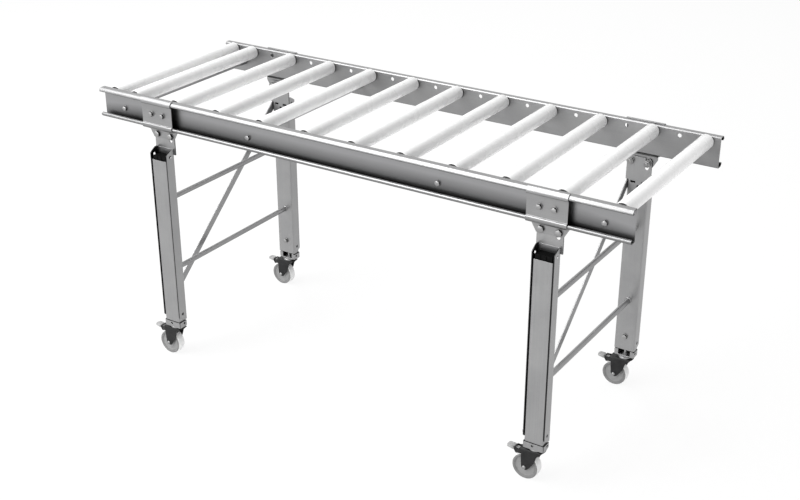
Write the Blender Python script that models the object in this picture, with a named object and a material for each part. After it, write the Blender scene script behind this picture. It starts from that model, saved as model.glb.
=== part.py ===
"""Roller stand: a gravity roller table on two tilting leg frames with telescopic legs and braked castors.

Metres, +Z up. X runs along the rails, Y across them with the front rail at -Y, Z = 0 on the floor.
The origin lies on the floor under the middle of the table.
"""
import math

import bmesh
import bpy
from mathutils import Matrix, Vector

# Overall sizes
HOLE_PITCH = 0.075
HOLE_COUNT = 22
WEB_SPAN = 0.5415
RAIL_TOP = 0.815
LEG_INSET = 0.215

# Rails
RAIL_HEIGHT = 0.086
RAIL_FLANGE = 0.024
SHEET = 0.0025
HOOK_DROP = 0.012
HOOK_LIP = 0.008
HOOK_RADIUS = 0.003
SHOULDER_RADIUS = 0.007
BEND_RADIUS = 0.002

# Rollers and their hexagonal axles
ROLLER_DIAMETER = 0.040
ROLLER_WALL = 0.0015
ROLLER_CAP = 0.012
ROLLER_SIDE_GAP = 0.003
ROLLER_HOLES = [0] + list(range(1, HOLE_COUNT, 2))
AXLE_DROP = 0.016
AXLE_FLATS = 0.010
AXLE_TAIL = 0.004

# Cross ties between the rails
TIE_DIAMETER = 0.016
TIE_STUD = 0.008
TIE_HEAD_FLATS = 0.013
TIE_HEAD = 0.0055
TIE_DROP = 0.0545
TIE_HOLES = (0.5, 6.5, 14.5, 20.5)

# Clips that carry the leg frames under the rails
CLIP_WIDTH = 0.109
CLIP_LAP = 0.012
CLIP_RECESS = 0.0048
CLIP_JOG_RADIUS = 0.0022
CLIP_BOLT_SPACING = 0.040
CLIP_BOLT_HOLE = 0.009
LUG_INSET = 0.0024
LUG_BEND = 0.003
LUG_TOP_WIDTH = 0.100
LUG_WIDTH = 0.073
LUG_SHOULDER = 0.011
LUG_DROP = 0.034

# Pivot and curved slot of a leg frame
PIVOT_DROP = 0.0235
PIVOT_OFFSET = 0.024
PIVOT_HOLE = 0.0106
SLOT_RADIUS = 0.048
SLOT_SWING = math.radians(18)

# Outer legs with their head plates
LEG_WIDTH = 0.062
LEG_DEPTH = 0.033
LEG_CORNER = 0.003
LEG_WEB_DROP = 0.062
FLANGE_BACK_DROP = 0.0600
FLANGE_FRONT_DROP = 0.0735
FLANGE_SLOPE = 0.020
FLANGE_NOSE = 0.004
LEG_CHAMFER = 0.006
HEAD_WIDTH = 0.072
HEAD_THICK = 0.0035
HEAD_TOP_DROP = 0.009
HEAD_BASE_DROP = 0.0785
HEAD_CORNER = 0.010
WEB_SLOT_DROP = 0.0065
WEB_SLOT_SPACING = 0.031
WEB_SLOT_LENGTH = 0.012
WEB_SLOT_HEIGHT = 0.004
WEB_HOLE_DROP = 0.0185
CLAMP_RISE = 0.043

# Inner legs with their feet
INNER_SIDE_GAP = 0.002
INNER_RECESS = 0.001
INNER_CLEAR = 0.002
INNER_DROP = 0.0915
FOOT_HEIGHT = 0.0195
FOOT_OVERHANG = 0.0036
FOOT_PROUD = 0.0015
FOOT_RECESS = 0.003
FOOT_FLOOR = 0.003
FOOT_CHAMFER = 0.008
FOOT_REST_GAP = 0.0035
FOOT_HOLE = 0.007
FOOT_HOLE_SHIFT = 0.0025

# Braces of a leg frame
BRACE_HOLE = 0.0085
BRACE_EDGE = 0.015
BRACE_BASE_RISE = 0.022
BRACE_HEAD_GAP = 0.0021
TUBE_DIAMETER = 0.015
TUBE_BASE_RISE = 0.159
TUBE_TOP_DROP = 0.220
BAR_WIDTH = 0.022
BAR_THICK = 0.003

# Castors
WHEEL_DIAMETER = 0.075
WHEEL_WIDTH = 0.026
WHEEL_AXLE = 0.008
HUB_RADIUS = 0.010
HUB_SLOPE = 0.001
DISC_SINK = 0.003
TYRE_DEPTH = 0.0095
TYRE_SHOULDER = 0.002
TRAIL = 0.0245
CASTOR_INSET = 0.019
RACE_DIAMETER = 0.038
RACE_HEIGHT = 0.006
STEM_NUT_FLATS = 0.017
STEM_NUT = 0.008
FORK_SHEET = 0.0025
FORK_SIDE_GAP = 0.00175
FORK_TOP_GAP = 0.0172
FORK_BEND = 0.003
FORK_CROWN = 0.0265
FORK_FRONT = 0.0085
FORK_WAIST = 0.011
FORK_NECK = 0.0255
FORK_BACK = 0.0345
FORK_PINCH = 0.62
FORK_LEAN = 0.80
FORK_SLOPE = 0.0065
FORK_EYE = 0.0095
FORK_SPLAY = 0.007
FORK_EYE_SWEEP = math.radians(85)
EAR_RISE = 0.0005
PIN_HEAD = 0.004
PEDAL_PIVOT_RISE = 0.0055
PEDAL_TOP = 0.003
PEDAL_NOSE = 0.006
PEDAL_NOSE_THICK = 0.006
PEDAL_ROOT = 0.0115
PEDAL_ROOT_WIDTH = 0.0155
PEDAL_SHOULDER = 0.002
PEDAL_WIDTH = 0.020
PEDAL_TAB_THICK = 0.0090
PEDAL_TIP_THICK = 0.0060
PEDAL_LENGTH = 0.0310
PEDAL_CORNER = 0.0045

# Clearances
GAP = 0.0003
HOLE_PLAY = 0.0006
WELD = 0.0007
BEYOND = 0.004

# Facets of round forms
ROLLER_SIDES = 16
TUBE_SIDES = 16
WHEEL_SIDES = 20
RACE_SIDES = 20
BOLT_HOLE_SIDES = 10
SMALL_HOLE_SIDES = 8
ROLL_STEPS = 3
BEND_STEPS = 2
ARC_STEPS = 4

# Derived levels and planes
HALF_SHEET = SHEET / 2
RAIL_LENGTH = HOLE_PITCH * HOLE_COUNT
RAIL_BASE = RAIL_TOP - RAIL_HEIGHT
WEB_IN = WEB_SPAN / 2
WEB_OUT = WEB_IN + SHEET
LEG_X = RAIL_LENGTH / 2 - LEG_INSET
PIVOT_Z = RAIL_BASE - PIVOT_DROP
PIVOT_X = -PIVOT_OFFSET
CASTOR_HEIGHT = WHEEL_DIAMETER + FORK_TOP_GAP + FORK_SHEET + GAP + RACE_HEIGHT
FOOT_TOP = CASTOR_HEIGHT + FOOT_HEIGHT
LEG_BASE = FOOT_TOP + FOOT_REST_GAP
HEAD_BASE = RAIL_BASE - HEAD_BASE_DROP
LUG_IN = WEB_IN - LUG_INSET
HEAD_OUT = LUG_IN - GAP
HEAD_IN = HEAD_OUT - HEAD_THICK
LEG_IN = HEAD_OUT - WELD
LEG_OUT = LEG_IN + LEG_DEPTH
INNER_WIDTH = LEG_WIDTH - 2 * SHEET - 2 * INNER_SIDE_GAP
INNER_OUT = LEG_OUT - INNER_RECESS
INNER_IN = LEG_IN + SHEET + INNER_CLEAR
CASTOR_Y = INNER_OUT - CASTOR_INSET
BRACE_Y = LEG_OUT - BRACE_EDGE
BRACE_LOW = LEG_BASE + BRACE_BASE_RISE

ENDS = {"left": -1, "right": 1}
SIDES = {"front": -1, "rear": 1}
SMOOTH = math.radians(40)


def clear_scene():
    for item in list(bpy.data.objects):
        bpy.data.objects.remove(item, do_unlink=True)


def make_material(name, colour, roughness, metallic):
    made = bpy.data.materials.new(name)
    made.use_nodes = True
    shader = made.node_tree.nodes["Principled BSDF"]
    shader.inputs["Base Color"].default_value = (*colour, 1)
    shader.inputs["Roughness"].default_value = roughness
    shader.inputs["Metallic"].default_value = metallic
    return made


def add_node(name, bm, look, place=(0, 0, 0), parent=None, smooth=None):
    """Turns a mesh into a named object; smooth is the angle above which edges stay sharp."""
    bmesh.ops.recalc_face_normals(bm, faces=bm.faces[:])
    if smooth is not None:
        for edge in bm.edges:
            edge.smooth = edge.calc_face_angle(0) < smooth
        for face in bm.faces:
            face.smooth = True
    mesh = bpy.data.meshes.new(name)
    bm.to_mesh(mesh)
    bm.free()
    node = bpy.data.objects.new(name, mesh)
    bpy.context.scene.collection.objects.link(node)
    node.location = place
    node.parent = parent
    if look is None:
        node.hide_render = True
        node.display_type = "WIRE"
    else:
        mesh.materials.append(look)
    return node


def add_empty(name, place, parent=None):
    empty = bpy.data.objects.new(name, None)
    bpy.context.scene.collection.objects.link(empty)
    empty.location = place
    empty.parent = parent
    return empty


def boolean(node, operation, tool):
    step = node.modifiers.new(operation.title(), "BOOLEAN")
    step.operation = operation
    step.solver = "EXACT"
    step.object = tool


def thicken(node, thickness):
    step = node.modifiers.new("Sheet", "SOLIDIFY")
    step.thickness = thickness
    step.offset = 0
    step.use_even_offset = True


def fillet(corners, radii, steps):
    """Rounds the inner corners of an open path in a plane; ends and corners of radius 0 stay as they are."""
    corners = [Vector(corner) for corner in corners]
    path = [corners[0]]
    for before, corner, after, radius in zip(corners, corners[1:], corners[2:], radii):
        if radius == 0:
            path.append(corner)
            continue
        back = (before - corner).normalized()
        ahead = (after - corner).normalized()
        half = back.angle(ahead) / 2
        centre = corner + (back + ahead).normalized() * radius / math.sin(half)
        start = corner + back * radius / math.tan(half) - centre
        stop = corner + ahead * radius / math.tan(half) - centre
        sweep = start.angle_signed(stop)
        for step in range(steps + 1):
            path.append(centre + Matrix.Rotation(-sweep * step / steps, 2) @ start)
    path.append(corners[-1])
    return path


def arc(centre, radius, start, stop, steps):
    return [centre + radius * Vector((math.cos(turn), math.sin(turn)))
            for turn in (start + (stop - start) * step / steps for step in range(steps + 1))]


def skin(bm, rows, closed=False):
    """Faces between rows of vertices; closed rows run all the way round."""
    for low, high in zip(rows, rows[1:]):
        for index in range(len(low) if closed else len(low) - 1):
            after = (index + 1) % len(low)
            bm.faces.new((low[index], low[after], high[after], high[index]))


def sheet_mesh(path, low, high, place):
    """A bent path carried from low to high at every point; place turns (path point, offset) into a vertex."""
    bm = bmesh.new()
    skin(bm, [(bm.verts.new(place(point, first)), bm.verts.new(place(point, last)))
              for point, first, last in zip(path, low, high)])
    return bm


def slab(bm, outline, low, high, place):
    """A flat outline carried from low to high."""
    face = bm.faces.new([bm.verts.new(place(point, low)) for point in outline])
    raised = bmesh.ops.extrude_face_region(bm, geom=[face])["geom"]
    verts = [item for item in raised if isinstance(item, bmesh.types.BMVert)]
    bmesh.ops.translate(bm, vec=place(outline[0], high) - place(outline[0], low), verts=verts)


def drill(bm, centre, along, diameter, depth, sides=SMALL_HOLE_SIDES):
    turn = Vector((0, 0, 1)).rotation_difference(Vector(along)).to_matrix().to_4x4()
    bmesh.ops.create_cone(bm, cap_ends=True, segments=sides, radius1=diameter / 2, radius2=diameter / 2,
                          depth=depth, matrix=Matrix.Translation(centre) @ turn)


def turned(profile, sides):
    """A closed profile of (radius, offset along Y) carried round the Y axis."""
    bm = bmesh.new()
    verts = [bm.verts.new((radius, offset, 0)) for radius, offset in profile]
    edges = [bm.edges.new(pair) for pair in zip(verts, verts[1:] + verts[:1])]
    bmesh.ops.spin(bm, geom=verts + edges, cent=(0, 0, 0), axis=(0, 1, 0), angle=2 * math.pi,
                   steps=sides, use_merge=True, use_duplicate=False)
    return bm


def mirrored(profile):
    """The other half of a turned profile, in the order that closes it."""
    return [(radius, -offset) for radius, offset in reversed(profile)]


def across_corners(flats):
    return flats / math.cos(math.pi / 6)


def hole_x(index):
    return (index - (HOLE_COUNT - 1) / 2) * HOLE_PITCH


def brace_rise():
    """Height between a diagonal's two holes at which its upper edge passes just under the rear head plate."""
    span = 2 * BRACE_Y
    edge = BAR_WIDTH / 2
    room = HEAD_BASE - BRACE_HEAD_GAP - BRACE_LOW
    share = (BRACE_Y + HEAD_OUT) / span
    lead = share ** 2 - (edge / span) ** 2
    return (room * share - math.sqrt((room * share) ** 2 - lead * (room ** 2 - edge ** 2))) / lead


BRACE_HIGH = BRACE_LOW + brace_rise()

clear_scene()
ZINC = make_material("zinc_plated_steel", (0.42, 0.42, 0.43), 0.42, 0.75)
ROLLER = make_material("white_roller_tube", (0.86, 0.86, 0.86), 0.35, 0.0)
AXLE = make_material("bright_axle_steel", (0.46, 0.46, 0.47), 0.35, 0.85)
FORK = make_material("dark_fork_sheet", (0.03, 0.03, 0.032), 0.5, 0.1)
WHEEL = make_material("grey_wheel_rubber", (0.30, 0.30, 0.30), 0.6, 0.0)
PEDAL = make_material("light_pedal_plastic", (0.45, 0.45, 0.45), 0.5, 0.0)

# The two rails: channels with their webs inside and rolled hooks along both outer edges.
hook = RAIL_FLANGE - HALF_SHEET
rail_path = fillet(
    [(RAIL_FLANGE - HOOK_LIP, RAIL_HEIGHT - HOOK_DROP + HALF_SHEET),
     (hook, RAIL_HEIGHT - HOOK_DROP + HALF_SHEET),
     (hook, RAIL_HEIGHT - HALF_SHEET),
     (HALF_SHEET, RAIL_HEIGHT - HALF_SHEET),
     (HALF_SHEET, HALF_SHEET),
     (hook, HALF_SHEET),
     (hook, HOOK_DROP - HALF_SHEET),
     (RAIL_FLANGE - HOOK_LIP, HOOK_DROP - HALF_SHEET)],
    [HOOK_RADIUS, SHOULDER_RADIUS - HALF_SHEET, BEND_RADIUS, BEND_RADIUS, SHOULDER_RADIUS - HALF_SHEET,
     HOOK_RADIUS], ROLL_STEPS)

for side, sign in SIDES.items():
    ends = [RAIL_LENGTH / 2] * len(rail_path)
    rail = add_node(
        "rail_" + side,
        sheet_mesh(rail_path, [-end for end in ends], ends,
                   lambda p, x, s=sign: Vector((x, s * (WEB_IN + p.x), RAIL_BASE + p.y))), ZINC)
    thicken(rail, SHEET)
    holes = bmesh.new()
    web = sign * (WEB_IN + HALF_SHEET)
    for index in range(HOLE_COUNT):
        drill(holes, (hole_x(index), web, RAIL_TOP - AXLE_DROP), (0, 1, 0),
              across_corners(AXLE_FLATS + 2 * GAP), SHEET + 2 * BEYOND, 6)
    for index in TIE_HOLES:
        drill(holes, (hole_x(index), web, RAIL_TOP - TIE_DROP), (0, 1, 0), TIE_STUD + 2 * HOLE_PLAY,
              SHEET + 2 * BEYOND)
    boolean(rail, "DIFFERENCE", add_node("rail_holes_" + side, holes, None))


# Four cross ties with a stud and a hexagon head at each end, through the middle of both webs.
def ring(size, offset, hexagon):
    """Twelve points round the Y axis, on a circle or on a hexagon measured across its flats."""
    points = []
    for step in range(12):
        radius = across_corners(size) / 2 if hexagon and step % 2 == 0 else size / 2
        turn = step * math.pi / 6
        points.append((radius * math.sin(turn), offset, radius * math.cos(turn)))
    return points


head_seat = WEB_OUT + GAP
tie_half = [(TIE_DIAMETER, WEB_IN - GAP, False), (TIE_STUD, WEB_IN - GAP, False),
            (TIE_STUD, head_seat, False), (TIE_HEAD_FLATS, head_seat, True),
            (TIE_HEAD_FLATS, head_seat + TIE_HEAD, True)]
tie_rings = [(size, -offset, hexagon) for size, offset, hexagon in reversed(tie_half)] + tie_half
for number, index in enumerate(TIE_HOLES, 1):
    tie = bmesh.new()
    rows = [[tie.verts.new(point) for point in ring(*sizes)] for sizes in tie_rings]
    skin(tie, rows, closed=True)
    tie.faces.new(rows[0])
    tie.faces.new(rows[-1])
    add_node(f"cross_tie_{number}", tie, ZINC, (hole_x(index), 0, RAIL_TOP - TIE_DROP), smooth=SMOOTH)

# Twelve rollers: a thin tube closed by two bearing caps, turning on a fixed hexagonal axle.
tube_end = WEB_IN - ROLLER_SIDE_GAP
bore = across_corners(AXLE_FLATS) / 2 + HOLE_PLAY
tube_in = ROLLER_DIAMETER / 2 - ROLLER_WALL
outside = [(bore, tube_end), (ROLLER_DIAMETER / 2, tube_end)]
inside = [(tube_in, tube_end - ROLLER_CAP), (bore, tube_end - ROLLER_CAP)]
roller_profile = outside + mirrored(outside) + mirrored(inside) + inside
for number, index in enumerate(ROLLER_HOLES, 1):
    place = (hole_x(index), 0, RAIL_TOP - AXLE_DROP)
    add_node(f"roller_{number:02d}", turned(roller_profile, ROLLER_SIDES), ROLLER, place, smooth=SMOOTH)
    axle = bmesh.new()
    drill(axle, (0, 0, 0), (0, 1, 0), across_corners(AXLE_FLATS), 2 * (WEB_OUT + AXLE_TAIL), 6)
    add_node(f"axle_{number:02d}", axle, AXLE, place)

# Four clips: one strip laps over the rail's top hook, steps in to a flat face between the hooks, goes
# round the bottom hook, turns in under the rail and hangs down as a tapered lug for the two pivot bolts.
clip_out = RAIL_FLANGE + GAP + HALF_SHEET
clip_face = clip_out - CLIP_RECESS
clip_round = SHOULDER_RADIUS + GAP + HALF_SHEET
clip_top = RAIL_HEIGHT + GAP + HALF_SHEET
jog_high = RAIL_HEIGHT - HOOK_DROP - GAP - HALF_SHEET
jog_low = HOOK_DROP + GAP + HALF_SHEET
lug = LUG_IN + HALF_SHEET - WEB_IN
clip_path = fillet(
    [(RAIL_FLANGE - CLIP_LAP, clip_top), (clip_out, clip_top), (clip_out, jog_high), (clip_face, jog_high),
     (clip_face, jog_low), (clip_out, jog_low), (clip_out, -GAP - HALF_SHEET), (lug, -GAP - HALF_SHEET),
     (lug, -LUG_SHOULDER), (lug, -LUG_DROP)],
    [clip_round] + [CLIP_JOG_RADIUS] * 4 + [clip_round, LUG_BEND, 0], ROLL_STEPS)


def clip_reach(point):
    """Half the width of a clip at a point of its path: full on the rail, tapering down the lug."""
    if point.x > lug + 2 * LUG_BEND:
        return CLIP_WIDTH / 2
    share = max(0, -LUG_SHOULDER - point.y) / (LUG_DROP - LUG_SHOULDER)
    return (LUG_TOP_WIDTH + (LUG_WIDTH - LUG_TOP_WIDTH) * share) / 2


clip_half = [clip_reach(point) for point in clip_path]
for end, ahead in ENDS.items():
    place = (ahead * LEG_X, 0, RAIL_BASE)
    for side, sign in SIDES.items():
        clip = add_node(
            f"rail_clip_{end}_{side}",
            sheet_mesh(clip_path, [-x for x in clip_half], clip_half,
                       lambda p, x, s=sign: Vector((x, s * (WEB_IN + p.x), p.y))), ZINC, place)
        thicken(clip, SHEET)
        holes = bmesh.new()
        for x in (-CLIP_BOLT_SPACING / 2, CLIP_BOLT_SPACING / 2):
            drill(holes, (x, sign * (WEB_IN + clip_face), RAIL_HEIGHT / 2), (0, 1, 0), CLIP_BOLT_HOLE,
                  SHEET + BEYOND)
        for x in (PIVOT_X, PIVOT_X + SLOT_RADIUS):
            drill(holes, (x, sign * (WEB_IN + lug), -PIVOT_DROP), (0, 1, 0), PIVOT_HOLE, SHEET + BEYOND,
                  BOLT_HOLE_SIDES)
        boolean(clip, "DIFFERENCE", add_node(f"clip_holes_{end}_{side}", holes, None, place))

# The outer leg's channel, in a frame with X = 0 on the leg's middle and Z = 0 at the pivot.
drop = RAIL_BASE - PIVOT_Z
leg_low = LEG_BASE - PIVOT_Z
head_low = HEAD_BASE - PIVOT_Z
flange = LEG_WIDTH / 2 - HALF_SHEET
leg_web = LEG_IN + HALF_SHEET
flange_points = [(flange, LEG_OUT - FLANGE_SLOPE), (flange, LEG_OUT - FLANGE_NOSE), (flange, LEG_OUT)]
outer_path = fillet(
    [(-x, y) for x, y in reversed(flange_points)] + [(-flange, leg_web), (flange, leg_web)] + flange_points,
    [0, 0, LEG_CORNER, LEG_CORNER, 0, 0], BEND_STEPS)


def outer_high(point):
    """Top of an outer leg at a point of its section: the flanges slope down towards their free edges."""
    if abs(point.x) < flange - GAP:
        return drop - LEG_WEB_DROP
    if point.y > LEG_OUT - GAP:
        return drop - FLANGE_FRONT_DROP
    if point.y > LEG_OUT - FLANGE_NOSE - GAP:
        return drop - FLANGE_FRONT_DROP + FLANGE_NOSE
    return drop - FLANGE_BACK_DROP


def outer_low(point):
    return leg_low + (LEG_CHAMFER if point.y > LEG_OUT - GAP else 0)


# The head plate with rounded upper corners, and the slot that runs round the pivot.
head_high = drop - HEAD_TOP_DROP
head_outline = [Vector((-HEAD_WIDTH / 2, head_low)), Vector((HEAD_WIDTH / 2, head_low))]
for x, start in ((HEAD_WIDTH / 2 - HEAD_CORNER, 0), (HEAD_CORNER - HEAD_WIDTH / 2, math.pi / 2)):
    head_outline += arc(Vector((x, head_high - HEAD_CORNER)), HEAD_CORNER, start, start + math.pi / 2,
                        ARC_STEPS)
pivot = Vector((PIVOT_X, 0))
slot_half = PIVOT_HOLE / 2
slot_outline = arc(pivot, SLOT_RADIUS + slot_half, -SLOT_SWING, SLOT_SWING, ARC_STEPS)
slot_outline += arc(pivot + SLOT_RADIUS * Vector((math.cos(SLOT_SWING), math.sin(SLOT_SWING))), slot_half,
                    SLOT_SWING, SLOT_SWING + math.pi, ARC_STEPS)[1:-1]
slot_outline += arc(pivot, SLOT_RADIUS - slot_half, SLOT_SWING, -SLOT_SWING, ARC_STEPS)
slot_outline += arc(pivot + SLOT_RADIUS * Vector((math.cos(SLOT_SWING), -math.sin(SLOT_SWING))), slot_half,
                    math.pi - SLOT_SWING, 2 * math.pi - SLOT_SWING, ARC_STEPS)[1:-1]

# The inner leg's channel and the foot's three walls round its lower end.
inner = INNER_WIDTH / 2 - HALF_SHEET
inner_path = fillet([(-inner, INNER_IN), (-inner, INNER_OUT - HALF_SHEET), (inner, INNER_OUT - HALF_SHEET),
                     (inner, INNER_IN)], [LEG_CORNER, LEG_CORNER], BEND_STEPS)
inner_low = CASTOR_HEIGHT + FOOT_FLOOR - WELD
inner_high = RAIL_BASE - INNER_DROP
foot = INNER_WIDTH / 2 + FOOT_OVERHANG - HALF_SHEET
foot_front = INNER_OUT + FOOT_PROUD - HALF_SHEET
foot_back = LEG_IN + FOOT_RECESS
foot_path = fillet(
    [(-foot, foot_back), (-foot, foot_back + FOOT_CHAMFER), (-foot, foot_front), (foot, foot_front),
     (foot, foot_back + FOOT_CHAMFER), (foot, foot_back)], [0, LEG_CORNER, LEG_CORNER, 0], BEND_STEPS)
foot_low = [CASTOR_HEIGHT + (FOOT_CHAMFER if p.y < foot_back + GAP else 0) for p in foot_path]
foot_floor = [Vector((x, y)) for x, y in ((-foot, foot_back), (foot, foot_back), (foot, foot_front),
                                          (-foot, foot_front))]

# The wheel: a tyre with bevelled shoulders, a sunk disc and a raised hub.
rim = WHEEL_DIAMETER / 2
wide = WHEEL_WIDTH / 2
wheel_half = [(WHEEL_AXLE / 2 + HOLE_PLAY, wide), (HUB_RADIUS, wide),
              (HUB_RADIUS + HUB_SLOPE, wide - DISC_SINK), (rim - TYRE_DEPTH, wide - DISC_SINK),
              (rim - TYRE_SHOULDER, wide), (rim, wide - TYRE_SHOULDER)]

# The fork, from the stem's axis: a crown over the wheel that slopes down and closes in at the back to two
# ears round the pedal, with two plates down to the axle's eyes.
plate = wide + FORK_SIDE_GAP + FORK_SHEET / 2
crown = CASTOR_HEIGHT - RACE_HEIGHT - GAP - FORK_SHEET / 2
ear = WHEEL_DIAMETER + EAR_RISE


def crown_reach(y):
    return math.sqrt(FORK_CROWN ** 2 - y ** 2)


def fork_mesh():
    bm = bmesh.new()
    half = [(plate, ear, FORK_FRONT), (plate, ear + FORK_BEND, FORK_FRONT + FORK_BEND / 2),
            (plate, crown - FORK_BEND, crown_reach(plate)),
            (plate - FORK_BEND, crown, crown_reach(plate - FORK_BEND)),
            (plate / 2, crown, crown_reach(plate / 2))]
    rows = []
    for y, z, front in half + [(0, crown, FORK_CROWN)] + [(-y, z, front) for y, z, front in reversed(half)]:
        rise = (z - ear) / (crown - ear)
        columns = ((-TRAIL - FORK_BACK, y * FORK_PINCH, z - rise * FORK_SLOPE),
                   (-TRAIL - FORK_NECK, y * FORK_PINCH, z - rise * FORK_SLOPE),
                   (-TRAIL - FORK_WAIST, y * (1 - rise * (1 - FORK_LEAN)), z - rise * FORK_SLOPE / 2),
                   (front, y, z))
        rows.append([bm.verts.new(point) for point in columns])
    skin(bm, rows)
    levels = [(rim + FORK_BEND, FORK_EYE, FORK_EYE + FORK_SPLAY)]
    for step in range(1, ROLL_STEPS + 1):
        turn = FORK_EYE_SWEEP * step / ROLL_STEPS
        levels.append((rim - FORK_EYE * math.sin(turn), FORK_EYE * math.cos(turn), FORK_EYE * math.cos(turn)))
    for top, y in ((rows[0], plate), (rows[-1], -plate)):
        skin(bm, [top[2:]] + [[bm.verts.new((-TRAIL - back, y, z)), bm.verts.new((-TRAIL + front, y, z))]
                              for z, back, front in levels])
    return bm


# The pedal, from its pivot between the fork's ears: a narrow root, then a wedge-shaped tab with a level top
# and two round corners.
pedal_x = -TRAIL - FORK_NECK
pedal_z = ear + PEDAL_PIVOT_RISE


def pedal_mesh():
    bm = bmesh.new()
    stations = [(-PEDAL_NOSE, PEDAL_ROOT_WIDTH / 2, PEDAL_NOSE_THICK),
                (PEDAL_ROOT, PEDAL_ROOT_WIDTH / 2, PEDAL_TAB_THICK),
                (PEDAL_ROOT + PEDAL_SHOULDER, PEDAL_WIDTH / 2, PEDAL_TAB_THICK)]
    corner = Vector((PEDAL_LENGTH - PEDAL_CORNER, PEDAL_WIDTH / 2 - PEDAL_CORNER))
    stations += [(*point, PEDAL_TIP_THICK) for point in arc(corner, PEDAL_CORNER, math.pi / 2, 0, ARC_STEPS)]
    rows = []
    for back, half, thick in stations:
        low = PEDAL_TOP - thick
        rows.append([bm.verts.new((-back, y, z)) for y, z in ((-half, PEDAL_TOP), (half, PEDAL_TOP), (half, low),
                                                              (-half, low))])
    skin(bm, rows, closed=True)
    bm.faces.new(rows[0])
    bm.faces.new(rows[-1])
    return bm



for end, ahead in ENDS.items():
    centre = ahead * LEG_X
    frame = add_empty("leg_frame_" + end, (centre + PIVOT_X, 0, PIVOT_Z))
    for side, sign in SIDES.items():
        tag = f"{end}_{side}"
        # Outer leg: a channel open to the outside, welded to a head plate with the pivot hole and the slot.
        middle = (-PIVOT_X, 0, 0)
        leg = add_node(
            "outer_leg_" + tag,
            sheet_mesh(outer_path, [outer_low(p) for p in outer_path], [outer_high(p) for p in outer_path],
                       lambda p, z, s=sign: Vector((p.x, s * p.y, z))), ZINC, middle, frame)
        thicken(leg, SHEET)
        head = bmesh.new()
        slab(head, head_outline, HEAD_IN, HEAD_OUT, lambda p, o, s=sign: Vector((p.x, s * o, p.y)))
        boolean(leg, "UNION", add_node("head_plate_" + tag, head, None, middle, frame))
        holes = bmesh.new()
        slab(holes, slot_outline, HEAD_IN - BEYOND, HEAD_OUT + BEYOND,
             lambda p, o, s=sign: Vector((p.x, s * o, p.y)))
        drill(holes, (PIVOT_X, sign * HEAD_OUT, 0), (0, 1, 0), PIVOT_HOLE, HEAD_THICK + 2 * BEYOND,
              BOLT_HOLE_SIDES)
        for level in (BRACE_LOW, BRACE_HIGH):
            drill(holes, (0, sign * BRACE_Y, level - PIVOT_Z), (1, 0, 0), BRACE_HOLE, LEG_WIDTH + 2 * BEYOND)
        for level in (head_low - WEB_HOLE_DROP, leg_low + CLAMP_RISE):
            drill(holes, (0, sign * leg_web, level), (0, 1, 0), BRACE_HOLE, SHEET + BEYOND)
        for x in (-WEB_SLOT_SPACING / 2, WEB_SLOT_SPACING / 2):
            bmesh.ops.create_cube(holes, size=1, matrix=Matrix.LocRotScale(
                (x, sign * leg_web, head_low - WEB_SLOT_DROP), None,
                (WEB_SLOT_LENGTH, SHEET + BEYOND, WEB_SLOT_HEIGHT)))
        boolean(leg, "DIFFERENCE", add_node("leg_holes_" + tag, holes, None, middle, frame))

        # Inner leg: a channel facing the other way, welded into a foot with the castor's top race and nut.
        stem = (centre, sign * CASTOR_Y, 0)

        def from_stem(p, z, s=sign):
            return Vector((p.x, s * (p.y - CASTOR_Y), z))

        slide = add_node(
            "inner_leg_" + tag,
            sheet_mesh(inner_path, [inner_low] * len(inner_path), [inner_high] * len(inner_path), from_stem),
            ZINC, stem)
        thicken(slide, SHEET)
        walls = add_node("foot_walls_" + tag,
                         sheet_mesh(foot_path, foot_low, [FOOT_TOP] * len(foot_path), from_stem), None, stem)
        thicken(walls, SHEET)
        boolean(slide, "UNION", walls)
        base = bmesh.new()
        slab(base, foot_floor, CASTOR_HEIGHT, CASTOR_HEIGHT + FOOT_FLOOR, from_stem)
        boolean(slide, "UNION", add_node("foot_floor_" + tag, base, None, stem))
        race = bmesh.new()
        drill(race, (0, 0, CASTOR_HEIGHT - RACE_HEIGHT / 2 + WELD / 2), (0, 0, 1), RACE_DIAMETER,
              RACE_HEIGHT + WELD, RACE_SIDES)
        drill(race, (0, 0, CASTOR_HEIGHT + FOOT_FLOOR + (STEM_NUT - WELD) / 2), (0, 0, 1),
              across_corners(STEM_NUT_FLATS), STEM_NUT + WELD, 6)
        boolean(slide, "UNION", add_node("race_" + tag, race, None, stem))
        holes = bmesh.new()
        foot_middle = CASTOR_HEIGHT + FOOT_FLOOR + (FOOT_HEIGHT - FOOT_FLOOR) / 2
        drill(holes, (-FOOT_HOLE_SHIFT, sign * (foot_front - CASTOR_Y), foot_middle), (0, 1, 0), FOOT_HOLE,
              SHEET + 2 * BEYOND)
        for x in (-foot, foot):
            drill(holes, (x, 0, foot_middle), (1, 0, 0), FOOT_HOLE, SHEET + 2 * BEYOND)
        boolean(slide, "DIFFERENCE", add_node("foot_holes_" + tag, holes, None, stem))

        # Castor: a fork swivelling under the foot, a wheel on the fork's axle and a brake pedal.
        swivel = add_node("castor_fork_" + tag, fork_mesh(), FORK, stem)
        thicken(swivel, FORK_SHEET)
        pin = bmesh.new()
        drill(pin, (-TRAIL, 0, rim), (0, 1, 0), WHEEL_AXLE, 2 * plate + FORK_SHEET + 2 * PIN_HEAD,
              BOLT_HOLE_SIDES)
        boolean(swivel, "UNION", add_node("wheel_axle_" + tag, pin, None, stem))
        add_node("castor_wheel_" + tag, turned(wheel_half + mirrored(wheel_half), WHEEL_SIDES), WHEEL,
                 (centre - TRAIL, sign * CASTOR_Y, rim), smooth=SMOOTH)
        add_node("brake_pedal_" + tag, pedal_mesh(), PEDAL, (centre + pedal_x, sign * CASTOR_Y, pedal_z))

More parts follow.
